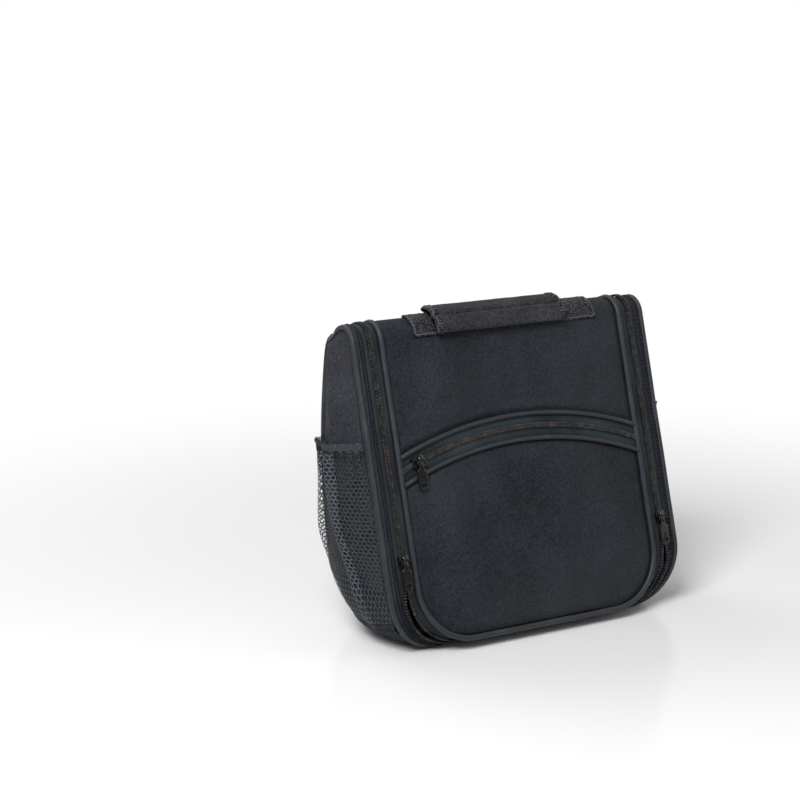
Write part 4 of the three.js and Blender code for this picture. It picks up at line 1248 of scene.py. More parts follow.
@dataclass
class FlapCloth:
    """Outer cloth of the flap and top, piped round the edge, with the arched pocket opening."""

    puff: float = 4.4 * MM
    upper_puff: float = 3.0 * MM
    edge: float = 4.0 * MM
    ease_in: float = 40 * MM
    ripple: float = 2.1 * MM

    def rise(self, x: float, run: float, edge_gap: float, arch_gap: float, puff: float) -> float:
        """Height of the cloth over its plane.

        Args:
            x: Place across.
            run: Place up the cloth.
            edge_gap: Distance from the nearest edge seam.
            arch_gap: Distance from the pocket's zip.
            puff: Fullness in the middle.
        """
        gap = min(edge_gap, arch_gap)
        full = ease(edge_gap, 0.5 * self.edge, self.ease_in) * ease(arch_gap, 0.5 * self.edge, self.ease_in)
        soft = wander(x * 13, run * 17, 1.5) + 0.4 * wander(x * 34, run * 30, 5.0)
        soft += 1.1 * wander((x + 0.7 * run) * 30, (run - 0.6 * x) * 9, 2.0)
        soft += 2.4 * bump(math.hypot(x + 0.058, 0.8 * (run - 0.176)), 0.0, 0.024)
        near = ease(gap, 0.0, 3 * self.edge)
        return self.tucked(gap) + puff * full + self.ripple * soft * near

    def tucked(self, gap: float) -> float:
        """Height of the bare cloth, drawn down at that distance from a seam."""
        return mix(-0.4 * MM, CUT.panel_rise, ease(gap, 0.0, self.edge))

    def build(self) -> None:
        """Make the flap's and top's outer cloth."""
        self.pocket()
        self.upper()
        self.piping()
        self.arch()

    def pocket(self) -> None:
        """Pocket front below the arched zip."""
        half = CUT.panel_half + 0.5 * CUT.sewn_gap
        radius = CUT.corner - CUT.panel_inset + 0.5 * CUT.sewn_gap
        top_radius = CUT.arch_radius - CUT.arch_half_band - CUT.arch_piping - 0.3 * CUT.sewn_gap

        def place(u: float, v: float) -> Vector:
            """A point of the pocket's face."""
            x = half * spread(u)
            over = max(abs(x) - CUT.corner_x, 0.0)
            low, high = CUT.foot_at(x, radius), CUT.arch(x, top_radius)
            up = mix(low, high, v)
            below = min(up, CUT.corner)
            in_corner = over > 0 and up < CUT.corner
            from_corner = radius - math.hypot(over, CUT.corner - below) if in_corner else up - low
            gap = max(min(half - abs(x), from_corner), 0.0)
            rise = self.rise(x, up, gap, high - up, self.puff)
            return BAG.plane(x, up, rise)

        cut_cloth("pocket_front_cloth", (90, 64), (2 * half, CUT.arch_apex), place, BAG.out, CUT.panel,
                  PANEL, Body.FLAP, "panel_cloth", ["flap_pocket_panel"])

    def upper(self) -> None:
        """Cloth above the arched zip, on over the fold to the rear of the top, in one piece."""
        half = CUT.panel_half + 0.5 * CUT.sewn_gap
        arch_edge = CUT.arch_radius + CUT.arch_half_band + CUT.arch_piping + 0.3 * CUT.sewn_gap
        whole = BAG.whole_run

        def place(u: float, v: float) -> Vector:
            """A point of the upper cloth's face."""
            x = half * spread(u)
            low = CUT.arch(x, arch_edge)
            run = mix(low, whole, v)
            puff = self.upper_puff * ease(CUT.height + 6 * MM - run, 0.0, self.ease_in)
            rise = self.rise(x, run, half - abs(x), run - low, puff)
            calm = ease(run, CUT.height - 20 * MM, CUT.height)
            return BAG.over(x, run, mix(rise, self.tucked(half - abs(x)), calm))

        cut_cloth("upper_front_and_top_cloth", (80, 96), (2 * half, whole - CUT.arch_apex), place, BAG.out,
                  CUT.panel, PANEL, fold_bend(), "panel_cloth", ["flap_upper_panel", "top_panel"])

    def piping(self) -> None:
        """Piping round the flap and along both sides of the top."""
        spine = [place.beside(0.0, CUT.sewn_gap + Shell.sway(place)) for place in BAG.whole]
        piping = tubing(spine, CUT.piping, 14, [place.rise for place in BAG.whole])
        sewn_in(piping, "flap_and_top_piping", PIPING, fold_bend(), "binding",
                ["flap_piping", "left_top_piping", "right_top_piping"])

    def arch(self) -> None:
        """Tape and piping of the arched zip."""

        def arc(share: float, radius: float, rise: float) -> Vector:
            """A point of an arc across the flap."""
            wide = math.asin((CUT.half_width - 1.0 * MM) / radius)
            turn = mix(-wide, wide, share)
            return BAG.plane(radius * math.sin(turn), CUT.arch_centre + radius * math.cos(turn), rise)

        for name, side, node in (("upper", 1, "pocket_upper_piping"), ("lower", -1, "pocket_lower_piping")):
            radius = CUT.arch_radius + side * CUT.arch_half_band
            spine = [arc(i / 80, radius, CUT.arch_piping + 0.25 * MM * wander(i * 0.4, side, 2.0))
                     for i in range(81)]
            piping = tubing(spine, CUT.arch_piping + 0.15 * MM, 12, [BAG.out] * 81)
            sewn_in(piping, f"arch_{name}_piping", PIPING, Body.FLAP, "binding", [node])
        for name, side in (("upper", 1), ("lower", -1)):
            near = CUT.arch_radius + side * 0.35 * MM
            far = CUT.arch_radius + side * (CUT.arch_half_band - 0.4 * CUT.arch_piping)
            cut_cloth(f"arch_{name}_tape", (80, 8), (2.06 * CUT.half_width, CUT.arch_half_band),
                      lambda u, v: arc(u, mix(near, far, v), 0.35 * MM * arching(v)), BAG.out, CUT.tape,
                      ARCH_TAPE, Body.FLAP, "zip_tape", ["pocket_zip_tape"])


@dataclass
class RearStrip:
    """Cloth that joins the back to the top, laid bent over from one to the other."""

    half: float = 101 * MM
    lap: float = 4 * MM
    thickness: float = 0.8 * MM

    def build(self) -> None:
        """Make the strip."""
        down = Vector((0, BAG.back_y + 0.5 * CUT.panel + 0.4 * MM, CUT.back_height - self.lap))
        top = BAG.over(0, BAG.whole_run - self.lap, CUT.panel_rise + 0.3 * MM)
        knee = Vector((0, down.y, BAG.over(0, BAG.whole_run, CUT.panel_rise).z + 0.2 * MM))

        def place(u: float, v: float) -> Vector:
            """A point of the strip, bent from the back over to the top."""
            first, second = down.lerp(knee, v), knee.lerp(top, v)
            point = first.lerp(second, v)
            x = mix(-self.half, self.half, u)
            wave = 0.25 * MM * wander(x * 40, v * 2, 21.0)
            return Vector((x, point.y, point.z + wave))

        bend = Bend(Body.BODY, Body.TOP, down + Vector((0, 0, 1.5 * MM)), top)
        cut_cloth("rear_hinge_strip", (90, 18), (2 * self.half, 14 * MM), place, Vector((0, 0.7, 0.7)),
                  self.thickness, PANEL, bend, "panel_cloth")


def fold_bend() -> Bend:
    """The bend between top and flap over the front fold."""
    return Bend(Body.TOP, Body.FLAP, BAG.over(0, CUT.height + 5 * MM, 0),
                BAG.over(0, CUT.height - 14 * MM, 0))


# Zips


@dataclass(frozen=True)
class Walk:
    """A place part of the way along a line: its point, and the ways ahead, out and up."""

    point: Vector
    ahead: Vector
    out: Vector
    rise: Vector


def walk_seam(half: Sequence[SeamPlace], run: float, out: float, rise: float) -> Walk:
    """The place at a length along one half of the seam, beside it by out and rise."""
    runs = [place.run for place in half]
    index = min(max(int(np.searchsorted(runs, run)) - 1, 0), len(half) - 2)
    first, second = half[index], half[index + 1]
    share = (run - first.run) / max(second.run - first.run, 1e-9)
    ends = first.beside(out, rise), second.beside(out, rise)
    way = first.out.lerp(second.out, share).normalized()
    up = first.rise.lerp(second.rise, share).normalized()
    return Walk(ends[0].lerp(ends[1], share), (ends[1] - ends[0]).normalized(), way, up)


def repeated(tooth: Piece, walks: Sequence[Walk]) -> Piece:
    """Copy one small shape to each place of a line, then remove the first.

    Args:
        tooth: Shape about the origin: X ahead, Y out and Z up.
        walks: Where the copies go.
    """
    count = len(tooth.data.vertices)
    flat = np.empty(3 * count)
    tooth.data.vertices.foreach_get("co", flat)
    shape = flat.reshape(-1, 3)
    faces = [tuple(face.vertices) for face in tooth.data.polygons]
    points: list[np.ndarray] = []
    sides: list[tuple[int, ...]] = []
    for i, walk in enumerate(walks):
        axes = np.array([walk.ahead, walk.out, walk.rise])
        points.append(shape @ axes + np.array(walk.point))
        turned = walk.ahead.cross(walk.out).dot(walk.rise) < 0
        for face in faces:
            corners = tuple(i * count + corner for corner in face)
            sides.append(corners[::-1] if turned else corners)
    mesh = bpy.data.meshes.new("row")
    mesh.from_pydata(np.concatenate(points).tolist(), [], sides)
    mesh.update()
    row = bpy.data.objects.new("row", mesh)
    bpy.context.collection.objects.link(row)
    bpy.data.objects.remove(tooth, do_unlink=True)
    return row


def coil_loop(length: float, width: float, height: float) -> Piece:
    """One loop of coil: a short rounded bar with its crown pinched in."""
    loop = block((0, 0, 0), (length, width, height), 0.26 * length, 1)
    with editing(loop, "DESELECT"):
        edit = bmesh.from_edit_mesh(loop.data)
        for face in edit.faces:
            face.select = face.normal.z > 0.9
        bmesh.update_edit_mesh(loop.data)
        bpy.ops.transform.resize(value=(0.75, 0.86, 1.0))
    return loop


@dataclass
class MainZip:
    """The zip round the flap, shut down to its two sliders and parted below them."""

    pitch: float = 1.7 * MM
    reach: float = 2.0 * MM
    parted: float = 2.6 * MM
    parted_from: float = 15 * MM
    parted_full: float = 30 * MM
    closing_from: float = 42 * MM
    closed_again: float = 92 * MM
    lifted: float = 0.9 * MM / parted

    @property
    def slider_run(self) -> float:
        """Length of the seam from the middle of the base to a slider."""
        return CUT.half_width - CUT.corner + CUT.corner * QUARTER_TURN + CUT.slider_height - CUT.corner

    def parting(self, run: float) -> float:
        """How far the body's row stands off the flap's."""
        below = self.slider_run - abs(run)
        return self.parted * ease(below, self.parted_from, self.parted_full) * (
            1 - 0.8 * ease(below, self.closing_from, self.closed_again))

    def build(self) -> None:
        """Make both rows and both tapes."""
        self.row("body_coil_row", 1, Body.BODY, ["body_zip_coil"])
        self.row("flap_coil_row", -1, fold_bend(),
                 ["flap_zip_coil", "left_top_zip_coil", "right_top_zip_coil"])
        self.tape("body_tape", Body.BODY, True, ["body_zip_tape"])
        self.tape("flap_tape", fold_bend(), False,
                  ["flap_zip_tape", "left_top_zip_tape", "right_top_zip_tape"])

    def row(self, name: str, way: int, seat: Seat, nodes: Sequence[str]) -> None:
        """One row of coil loops along the whole seam: the body's outward, or the flap's inward."""
        out = CUT.zip_offset + way * 0.55 * self.reach
        walks = []
        for half in (BAG.left, BAG.right):
            for i in range(int(BAG.left[-1].run / self.pitch)):
                run = (i + 0.5 + 0.25 * way) * self.pitch
                apart = self.parting(run) if way > 0 else 0.0
                up = CUT.row_low + 0.5 * CUT.row_height + self.lifted * apart
                walks.append(walk_seam(half, run, out + apart, up))
        loop = coil_loop(0.56 * self.pitch, self.reach, CUT.row_height)
        sewn_in(repeated(loop, walks), name, COIL, seat, "zip_coil", nodes, 35)

    def tape(self, name: str, seat: Seat, outer: bool, nodes: Sequence[str]) -> None:
        """One tape, its selvedge under its coil row."""
        last = len(BAG.whole) - 1

        def place(u: float, v: float) -> Vector:
            """A point of the tape's face."""
            seam = BAG.whole[round(u * last)]
            if outer:
                apart = self.parting(seam.run)
                out = mix(CUT.zip_offset + CUT.tape_edge + apart, CUT.body_tape_end + 0.5 * CUT.sewn_gap, v)
                lift = self.lifted * apart * (1 - v)
            else:
                out = mix(CUT.piping + 0.5 * CUT.sewn_gap, CUT.zip_offset - CUT.tape_edge, v)
                lift = 0.0
            swell = 0.5 * MM * arching(v) * (1 + wander(seam.run * 40, 7.0, v))
            return seam.beside(out, lift + 0.6 * swell)

        width = CUT.zip_offset - CUT.tape_edge - CUT.piping
        cut_cloth(name, (last, 6), (2 * BAG.left[-1].run, width), place, None, CUT.tape, TAPE, seat,
                  "zip_tape", nodes)


def closed_coil(name: str, count: int, size: tuple[float, float], walk: Callable[[float, int], Walk],
                body: Body, nodes: Sequence[str] = ()) -> None:
    """Two rows of coil loops that mesh, sewn in as one piece.

    Args:
        name: The coil's name.
        count: Loops of each row.
        size: Length and width of a loop.
        walk: Place at a share along the row on side -1 or 1.
        body: The body that it rides on.
        nodes: CAD nodes that it stands for.
    """
    rows = [repeated(coil_loop(*size, CUT.row_height), [walk((i + 0.5 + 0.25 * side) / count, side)
                                                        for i in range(count)]) for side in (-1, 1)]
    sewn_in(one_of(*rows), name, COIL, body, "zip_coil", nodes, 35)


@dataclass
class ArchZip:
    """Closed coil of the arched pocket zip."""

    pitch: float = 1.7 * MM
    reach: float = 1.9 * MM

    def build(self) -> None:
        """Make the closed coil."""
        wide = math.asin((CUT.half_width - 1.5 * MM) / CUT.arch_radius)

        def walk(share: float, side: int) -> Walk:
            """A place along one of the rows."""
            turn = mix(-wide, wide, share)
            out = BAG.up * math.cos(turn) + Vector((math.sin(turn), 0, 0))
            radius = CUT.arch_radius + side * 0.5 * self.reach
            middle = BAG.plane(radius * math.sin(turn), CUT.arch_centre + radius * math.cos(turn),
                               CUT.row_low + 0.5 * CUT.row_height)
            return Walk(middle, BAG.out.cross(out).normalized(), out, BAG.out)

        count = int(2 * wide * CUT.arch_radius / self.pitch)
        closed_coil("arch_coil", count, (0.56 * self.pitch, self.reach), walk, Body.FLAP,
                    ["pocket_zip_coil"])


# Sliders and pulls


def in_metal(piece: Piece, name: str, node: str) -> None:
    """Finish a piece in black metal, on the moving body that has its node's name."""
    sewn_in(piece, name, METAL, node, "black_metal", [node], 40)


@dataclass
class Hardware:
    """Zip sliders with their pulls, enamelled black."""

    length: float = 10.5 * MM
    width: float = 8.6 * MM
    plate: float = 1.1 * MM
    post: float = 0.8 * MM
    running_gap: float = 0.4 * MM
    ear: float = 1.0 * MM
    ear_inner: float = 2.6 * MM
    barrel: float = 1.0 * MM
    pull: float = 1.2 * MM
    pull_length: float = 21 * MM
    pull_half: float = 3.8 * MM
    neck_half: float = 2.1 * MM
    neck_length: float = 4.5 * MM
    hole: float = 2.2 * MM
    eye: float = 2.0 * MM
    pocket_x: float = -88 * MM

    def build(self) -> None:
        """Make the two main sliders and the pocket's."""
        for hand, sign in HANDS:
            body, axis = self.straddling()
            self.fasten(f"{hand}_main", f"{hand}_zip", body, self.hanging(), axis,
                        sign * (CUT.half_width + CUT.zip_offset), CUT.slider_height)
        turn = math.asin(-self.pocket_x / CUT.arch_radius)
        body, axis = self.riding(CUT.row_high)
        upright = self.lugs(axis - self.barrel - self.running_gap)
        slider = one_of(moved(body, Matrix.Rotation(turn + QUARTER_TURN, 4, "Z")), *upright)
        self.fasten("pocket", "pocket_zip", slider, self.hanging(), axis, self.pocket_x,
                    CUT.arch(self.pocket_x, CUT.arch_radius))

    @staticmethod
    def fasten(name: str, zip_name: str, slider: Piece, pull: Piece, axis: float, x: float,
               up: float) -> None:
        """Put a slider and its pull, hung that far out, at their place on the front plane."""
        for kind, piece, out in (("slider", slider, 0.0), ("pull", pull, axis)):
            into = seated(Vector((1, 0, 0)), BAG.up, BAG.out, BAG.plane(x, up, out))
            in_metal(moved(piece, into), f"{name}_{kind}", f"{zip_name}_{kind}")

    def shield(self, low: float, high: float, shoulder: float = 1.0, waist: float = 0.74) -> Piece:
        """A slider plate: broad shoulders up, narrow waist down, rounded all round."""
        plate = block((0, 0, 0.5 * (low + high)), (self.width, self.length, high - low), 0.32 * (high - low))
        with editing(plate):
            bpy.ops.mesh.subdivide(number_cuts=2)
        for vertex in plate.data.vertices:
            share = vertex.co.y / self.length + 0.5
            vertex.co.x *= mix(waist, shoulder, ease(share, 0.0, 0.75)) * (1 - 0.22 * ease(share, 0.8, 1.05))
            vertex.co.y *= 1 - 0.1 * (vertex.co.x / (0.5 * self.width)) ** 2
        plate.data.update()
        return plate

    def lugs(self, top: float) -> list[Piece]:
        """Two ears over the plate, and the crown that bridges them."""
        height = self.running_gap + 2 * self.barrel
        ears = [block((side * (self.ear_inner + 0.5 * self.ear), 0, top + 0.5 * (height - self.plate)),
                      (self.ear, 3 * self.barrel, height + self.plate), 0.3 * self.ear, 3)
                for side in (-1, 1)]
        arc = [Vector((0, 0.34 * self.length * math.cos(t) + 0.5 * MM,
                       top - 0.2 * self.plate + 0.62 * height * math.sin(t)))
               for t in (HALF_TURN * i / 12 for i in range(13))]
        return [*ears, tubing(arc, 0.55 * MM, 8, [Vector((1, 0, 0))] * 13, 1.9)]

    def straddling(self) -> tuple[Piece, float]:
        """Slider with two plates and a post between the open rows, and the height of its pull's axis."""
        top_low = CUT.row_high + self.running_gap
        top_high = top_low + self.plate
        bottom_high = -CUT.tape - self.running_gap
        bottom_low = bottom_high - self.plate
        post = block((0, 0.1 * self.length, 0.5 * (top_high + bottom_low)),
                     (self.post, 0.5 * self.length, top_high - bottom_low - 0.4 * MM), 0.2 * self.post)
        flanges = [block((side * (0.5 * self.width - 0.5 * MM), 0.06 * self.length, top_low - 0.35 * MM),
                         (0.7 * MM, 0.72 * self.length, 1.1 * MM), 0.2 * MM) for side in (-1, 1)]
        upright = self.lugs(top_high)
        body = one_of(self.shield(top_low, top_high), self.shield(bottom_low, bottom_high), post, *flanges,
                      *upright)
        return body, top_high + self.running_gap + self.barrel

    def riding(self, coil_top: float) -> tuple[Piece, float]:
        """Slider that rides over a closed coil, its length along Y, and the height of its pull's axis."""
        roof = coil_top + self.running_gap
        inner = CUT.arch_coil_half + self.running_gap
        sides = [block((side * (inner + 0.75 * self.plate), 0, 0.5 * (roof + self.running_gap)),
                       (1.5 * self.plate, 0.92 * self.length, roof - self.running_gap), 0.3 * MM)
                 for side in (-1, 1)]
        body = one_of(self.shield(roof, roof + self.plate, 1.05, 0.86), *sides)
        return body, roof + self.plate + self.running_gap + self.barrel

    def hanging(self, flat: bool = False) -> Piece:
        """Pull with a round hole near its end, hung from a barrel at the origin or, if flat, from an eye."""
        centre = Vector((0, -self.pull_length + self.pull_half, 0))
        shoulder = -self.neck_length - 0.5 * self.pull_half
        stop = 1.6 * MM if flat else 0.0
        turns = (HALF_TURN + HALF_TURN * i / 32 for i in range(33))
        bow = [centre + Vector((math.cos(turn), math.sin(turn), 0)) * self.pull_half for turn in turns]
        flank = [Vector((self.pull_half, mix(centre.y, shoulder, s), 0)) for s in (0.3, 0.6, 1.0)]
        flank += [Vector((mix(self.pull_half, self.neck_half, ease(s, 0, 1)),
                          mix(shoulder, -self.neck_length, s), 0)) for s in (0.33, 0.66, 1.0)]
        flank += [Vector((self.neck_half, mix(-self.neck_length, -stop, s), 0)) for s in (0.5, 1.0)]
        outline = [*bow, *flank, *(Vector((-p.x, p.y, 0)) for p in reversed(flank))]
        count = len(outline)

        def place(u: float, v: float) -> Vector:
            """A point of the plate's face between its hole and its outline."""
            rim = outline[round(u * count) % count]
            return (centre + (rim - centre).normalized() * self.hole).lerp(rim, v)

        plate = laid((count, 4), (2 * self.pull_length, self.pull_half), place, Vector((0, 0, 1)))
        with editing(plate):
            bpy.ops.mesh.remove_doubles(threshold=SMALLEST_FOLD)
        worn_round(modified(plate, "SOLIDIFY", thickness=self.pull, offset=0.0), 0.28 * MM)
        torus = {"major_segments": 32, "minor_segments": 10}
        rim = shaped(bpy.ops.mesh.primitive_torus_add, location=centre, major_radius=self.hole + 0.5 * MM,
                     minor_radius=0.65 * MM, **torus)
        for vertex in rim.data.vertices:
            vertex.co.z *= 1.1
        if flat:
            end = shaped(bpy.ops.mesh.primitive_torus_add, major_radius=self.eye, minor_radius=0.6 * MM,
                         **torus)
        else:
            end = shaped(bpy.ops.mesh.primitive_cylinder_add, radius=self.barrel, depth=4.6 * MM, vertices=20,
                         rotation=(0, QUARTER_TURN, 0))
            worn_round(end, 0.25 * MM)
        return one_of(plate, rim, end)


# Handle and side pockets


@dataclass
class Handle:
    """Carrying handle round the fold: two webbing ends and a padded sleeve with bound ends."""

    webbing_half_span: float = 79 * MM
    webbing_centre: float = 2 * MM
    webbing: float = 2.0 * MM
    webbing_low: float = math.radians(-4)
    webbing_high: float = math.radians(82)
    sleeve_half: float = 56 * MM
    sleeve_centre: float = -4 * MM
    sleeve_width: float = 30 * MM
    sleeve_girth: float = 2.3 * sleeve_width
    sleeve_thickness: float = 6.4 * MM
    sleeve_turn: float = math.radians(42)
    stand_off: float = 1.4 * MM
    bound: float = 5.5 * MM

    @property
    def middle(self) -> float:
        """Radius of the sleeve's middle from the fold's centre."""
        return CUT.fold_radius + CUT.panel_rise + self.stand_off + 0.5 * self.sleeve_thickness

    def build(self) -> None:
        """Make the webbing, the sleeve and its bound ends."""
        for hand, sign in HANDS:
            self.end(hand, sign)
        self.sleeve()

    def section(self, x: float, around: float, grow: float) -> Vector:
        """A point of the sleeve's skin: a crowned pad that hugs the fold."""
        turn = 2 * HALF_TURN * around
        across = math.copysign(abs(math.cos(turn)) ** 0.8, math.cos(turn))
        up = math.copysign(abs(math.sin(turn)) ** 0.75, math.sin(turn))
        soft = wander(x * 40, across * 2.5, 9.0) + 0.5 * wander(x * 110, across * 3, 2.0)
        seam = 2.0 * MM * bump(across, -0.1, 0.06) - 0.5 * MM * bump(across, -0.3, 0.1) if up > 0 else 0.0
        half = 0.5 * self.sleeve_thickness + grow
        radius = self.middle + half * up + (0.5 * MM * soft - seam if up > 0 else 0.0)
        angle = self.sleeve_turn + across * (0.5 * self.sleeve_width + 0.6 * grow) / self.middle
        return BAG.round_fold(x, angle, radius)

    def sleeve(self) -> None:
        """The padded sleeve, and a coarse binding over each end."""

        def place(u: float, v: float) -> Vector:
            """A point of the sleeve."""
            x = self.sleeve_centre + mix(-self.sleeve_half, self.sleeve_half, u)
            end = 1 - ease(self.sleeve_half - abs(x - self.sleeve_centre), 0.0, 5 * MM)
            return self.section(x, v, -0.8 * MM * end)

        pad = laid((90, 96), (2 * self.sleeve_half, self.sleeve_girth), place, seamed=True)
        sewn_in(pad, "handle_pad", SLEEVE, "handle", "webbing", ["handle_sleeve"], 60)
        for hand, sign in HANDS:
            outer = self.sleeve_centre + sign * self.sleeve_half

            def rim(u: float, v: float) -> Vector:
                """A point of one end's binding."""
                x = outer - sign * self.bound * u
                knob = 0.4 * MM * wander(x * 420, v * 46, sign * 4.0)
                knob += 0.25 * MM * math.sin(2 * HALF_TURN * (30 * v + 2.2 * u))
                closing = -0.42 * self.sleeve_thickness * (1 - ease(u, 0.0, 0.28))
                return self.section(x, v, 0.5 * MM + knob * ease(u, 0.0, 0.2) + closing)

            binding = laid((14, 120), (self.bound, self.sleeve_girth), rim, seamed=True)
            sewn_in(binding, f"handle_{hand}_end_binding", STRAP, "handle", "webbing", (), 70)

    def end(self, hand: str, sign: int) -> None:
        """One end of the webbing, sewn down beside the sleeve."""
        outer = self.webbing_centre + sign * self.webbing_half_span
        inner = self.sleeve_centre + sign * (self.sleeve_half - 1.5 * MM)
        face = CUT.fold_radius + CUT.panel_rise + 0.3 * MM

        def place(u: float, v: float) -> Vector:
            """A point of the webbing's face."""
            x = mix(outer, inner, u)
            knob = 0.4 * MM * wander(x * 420, v * 22, 1.0)
            hem = bump(u, 0.1, 0.09) + bump(v, 0.07, 0.07) + bump(v, 0.93, 0.07)
            edge = ease(min(v, 1 - v, 2 * u), 0.0, 0.05)
            angle = mix(self.webbing_low, self.webbing_high, v)
            radius = face + self.webbing * (0.55 + 0.35 * min(hem, 1.0)) * mix(0.5, 1.0, edge) + knob * edge
            ragged = 0.5 * MM * wander(v * 30, sign, 3.0) * (1 - ease(u, 0.0, 0.2))
            return BAG.round_fold(x + ragged, angle, radius)

        bend = Bend(Body.TOP, Body.HANDLE, Vector((outer + sign * -6 * MM, 0, 0)) + BAG.fold_centre,
                    Vector((inner, 0, 0)) + BAG.fold_centre)
        cut_cloth(f"{hand}_handle_strap", (44, 60), (abs(outer - inner), WEBBING_WIDTH), place, BAG.out,
                  0.75 * self.webbing, STRAP, bend, "webbing", [f"{hand}_handle_webbing"], 70)


@dataclass
class SidePocket:
    """Net pocket on a side, gathered into a ruffled elastic."""

    shell: Shell
    top_front: float = 0.66
    top_rear: float = 0.74
    foot_front: float = 0.13
    foot_rear: float = 0.06
    front: float = 0.02
    rear: float = 0.96
    stand_off: float = 5.0 * MM
    rear_slack: float = 0.7
    elastic: float = 3.5 * MM
    frill: float = 6 * MM
    pleat_low: float = 0.28
    pleat_high: float = 0.44
    corner_steps: int = 14
    steps: tuple[int, int] = (90, 110)
    width: float = 96 * MM
    height: float = 150 * MM

    def build(self) -> None:
        """Make both pockets."""
        first = BOTTOM_STEPS + CORNER_STEPS - self.corner_steps
        for hand, half in (("left", BAG.left), ("right", BAG.right)):
            self.pocket(hand, half[first:first + self.corner_steps + SIDE_STEPS + 1])

    def top(self, across: float) -> float:
        """Share up the side of the pocket's mouth."""
        return mix(self.top_front, self.top_rear, across) - 0.012 * arching(across)

    def foot(self, across: float) -> float:
        """Share up the side of the pocket's lower edge."""
        return mix(self.foot_front, self.foot_rear, across)

    def point(self, places: Sequence[SeamPlace], up: float, across: float, stand: float) -> Vector:
        """A point off the side cloth, between two places of the seam."""
        at = min(max(up, 0.0), 1.0) * (len(places) - 1)
        index = min(int(at), len(places) - 2)
        depth = mix(self.front, self.rear, across)
        first, second = (self.shell.point(places[i], depth) for i in (index, index + 1))
        way = places[index].rear_side.lerp(places[index + 1].rear_side, at - index)
        point = first.lerp(second, at - index) + way * stand
        point.z = max(point.z, 0.2 * MM)
        return point

    def pleat(self, share: float) -> float:
        """Place across of the pleat, which slants to the front as it goes down."""
        return mix(self.pleat_low, self.pleat_high, share) + 0.012 * math.sin(14 * share)

    def fullness(self, share: float, across: float) -> float:
        """How far the net stands off the side, at a share of its height and across."""
        held = math.sqrt(ease(across, 0.0, 0.35) * (1 - ease(across, 0.9, 1.0)))
        full = self.stand_off * ease(share, 0.08, 0.5) * (1 + self.rear_slack * bump(across, 0.86, 0.16))
        waves = math.sin(2 * HALF_TURN * (9 * across + 0.6 * math.sin(11 * across)))
        gathers = 0.9 * MM * ease(share, 0.45, 1.0) * waves
        free = ease(share, 0.0, 0.2)
        folds = 1.6 * MM * wander(across * 4.2, share * 2.4, 8.0) * free
        pleat = 1.8 * MM * bump(across, self.pleat(share), 0.05) * free
        return CUT.sewn_gap + (full + gathers + folds + pleat) * held

    def ruffle(self, across: float) -> float:
        """Waves of the gathered mouth."""
        broad = 0.8 * math.sin(2 * HALF_TURN * 10 * across + 1.6 * math.sin(9 * across))
        return broad + 0.4 * math.sin(61 * across) + 0.35 * math.sin(97 * across + 2 * math.sin(13 * across))

    def pocket(self, hand: str, places: Sequence[SeamPlace]) -> None:
        """One pocket: net, pleat, elastic, frill, gathers and hem."""
        facing = Vector((math.copysign(1.0, places[0].foot.x), 0, 0))
        size = (self.width, self.height)
        rise = 1.0 / (CUT.height - CUT.corner + 46 * MM)

        def net_at(across: float, share: float, off: float = 0.0) -> Vector:
            """A point of the net, off it by a little."""
            return self.point(places, mix(self.foot(across), self.top(across), share), across,
                              self.fullness(share, across) + off)

        def folded(u: float, v: float) -> Vector:
            """A point of the pleat, doubled on the net."""
            return net_at(self.pleat(v) + mix(-0.07, 0.06, u), v, (0.3 + 0.9 * arching(u)) * MM)

        def band(across: float, lift: float, wave: float, edge: float) -> Vector:
            """A point of a gathered strip, that far over the mouth, waved more at its edge."""
            waves = self.ruffle(across)
            stand = self.fullness(1.0, across) + 0.5 * MM + wave * waves * (0.35 + 0.65 * edge)
            up = self.top(across) + (lift + 0.8 * MM * waves * edge) * rise
            return self.point(places, up, across, max(stand, 0.3 * MM))

        def elastic(u: float, v: float) -> Vector:
            """A point of the gathered elastic."""
            return band(u, (v - 0.6) * self.elastic, 1.5 * MM, abs(2 * v - 1))

        def frill(u: float, v: float) -> Vector:
            """A point of the frill over the elastic."""
            lift = mix(0.1 * self.elastic, 0.3 * self.elastic + self.frill, v)
            return band(u, lift, (1.6 + 1.3 * v) * MM, v)

        def gathers(u: float, v: float) -> Vector:
            """A point of the gathered net under the elastic."""
            share = mix(0.84 + 0.03 * math.sin(23 * u), 1.0, v)
            return net_at(u, share, (0.5 + 0.5 * self.ruffle(u)) * MM * v)

        def hem(u: float, v: float) -> Vector:
            """A point of the strip at the foot."""
            up = self.foot(u) + (6 * v - 3) * MM * rise
            return self.point(places, up, u, 0.7 * MM + 0.8 * MM * arching(v))

        net = cut_cloth(f"{hand}_pocket_net", self.steps, size, net_at, facing, 0.0, NET, Body.BODY, "mesh",
                        [f"{hand}_mesh_pocket"])
        trim = [cut_cloth(f"{hand}_pocket_{name}", steps, cut, place, facing, thickness, finish, Body.BODY,
                          slot, nodes, degrees)
                for name, steps, cut, place, thickness, finish, slot, nodes, degrees in (
                    ("pleat", (14, 90), (15 * MM, self.height), folded, 0.0, DOUBLED, "mesh", [], 50),
                    ("band", (150, 8), (self.width, self.elastic), elastic, 1.0 * MM, ELASTIC, "binding",
                     [f"{hand}_pocket_elastic"], 60),
                    ("frill", (190, 8), (2 * self.width, 2 * self.frill), frill, 0.0, FRILL, "mesh", [], 60),
                    ("gathers", (150, 24), (1.7 * self.width, 0.3 * self.height), gathers, 0.0, NET, "mesh",
                     [], 60),
                    ("hem", (70, 5), (self.width, 6 * MM), hem, 0.6 * MM, RIM, "mesh", [], 50))]
        cut_size(net, size)


# Inside


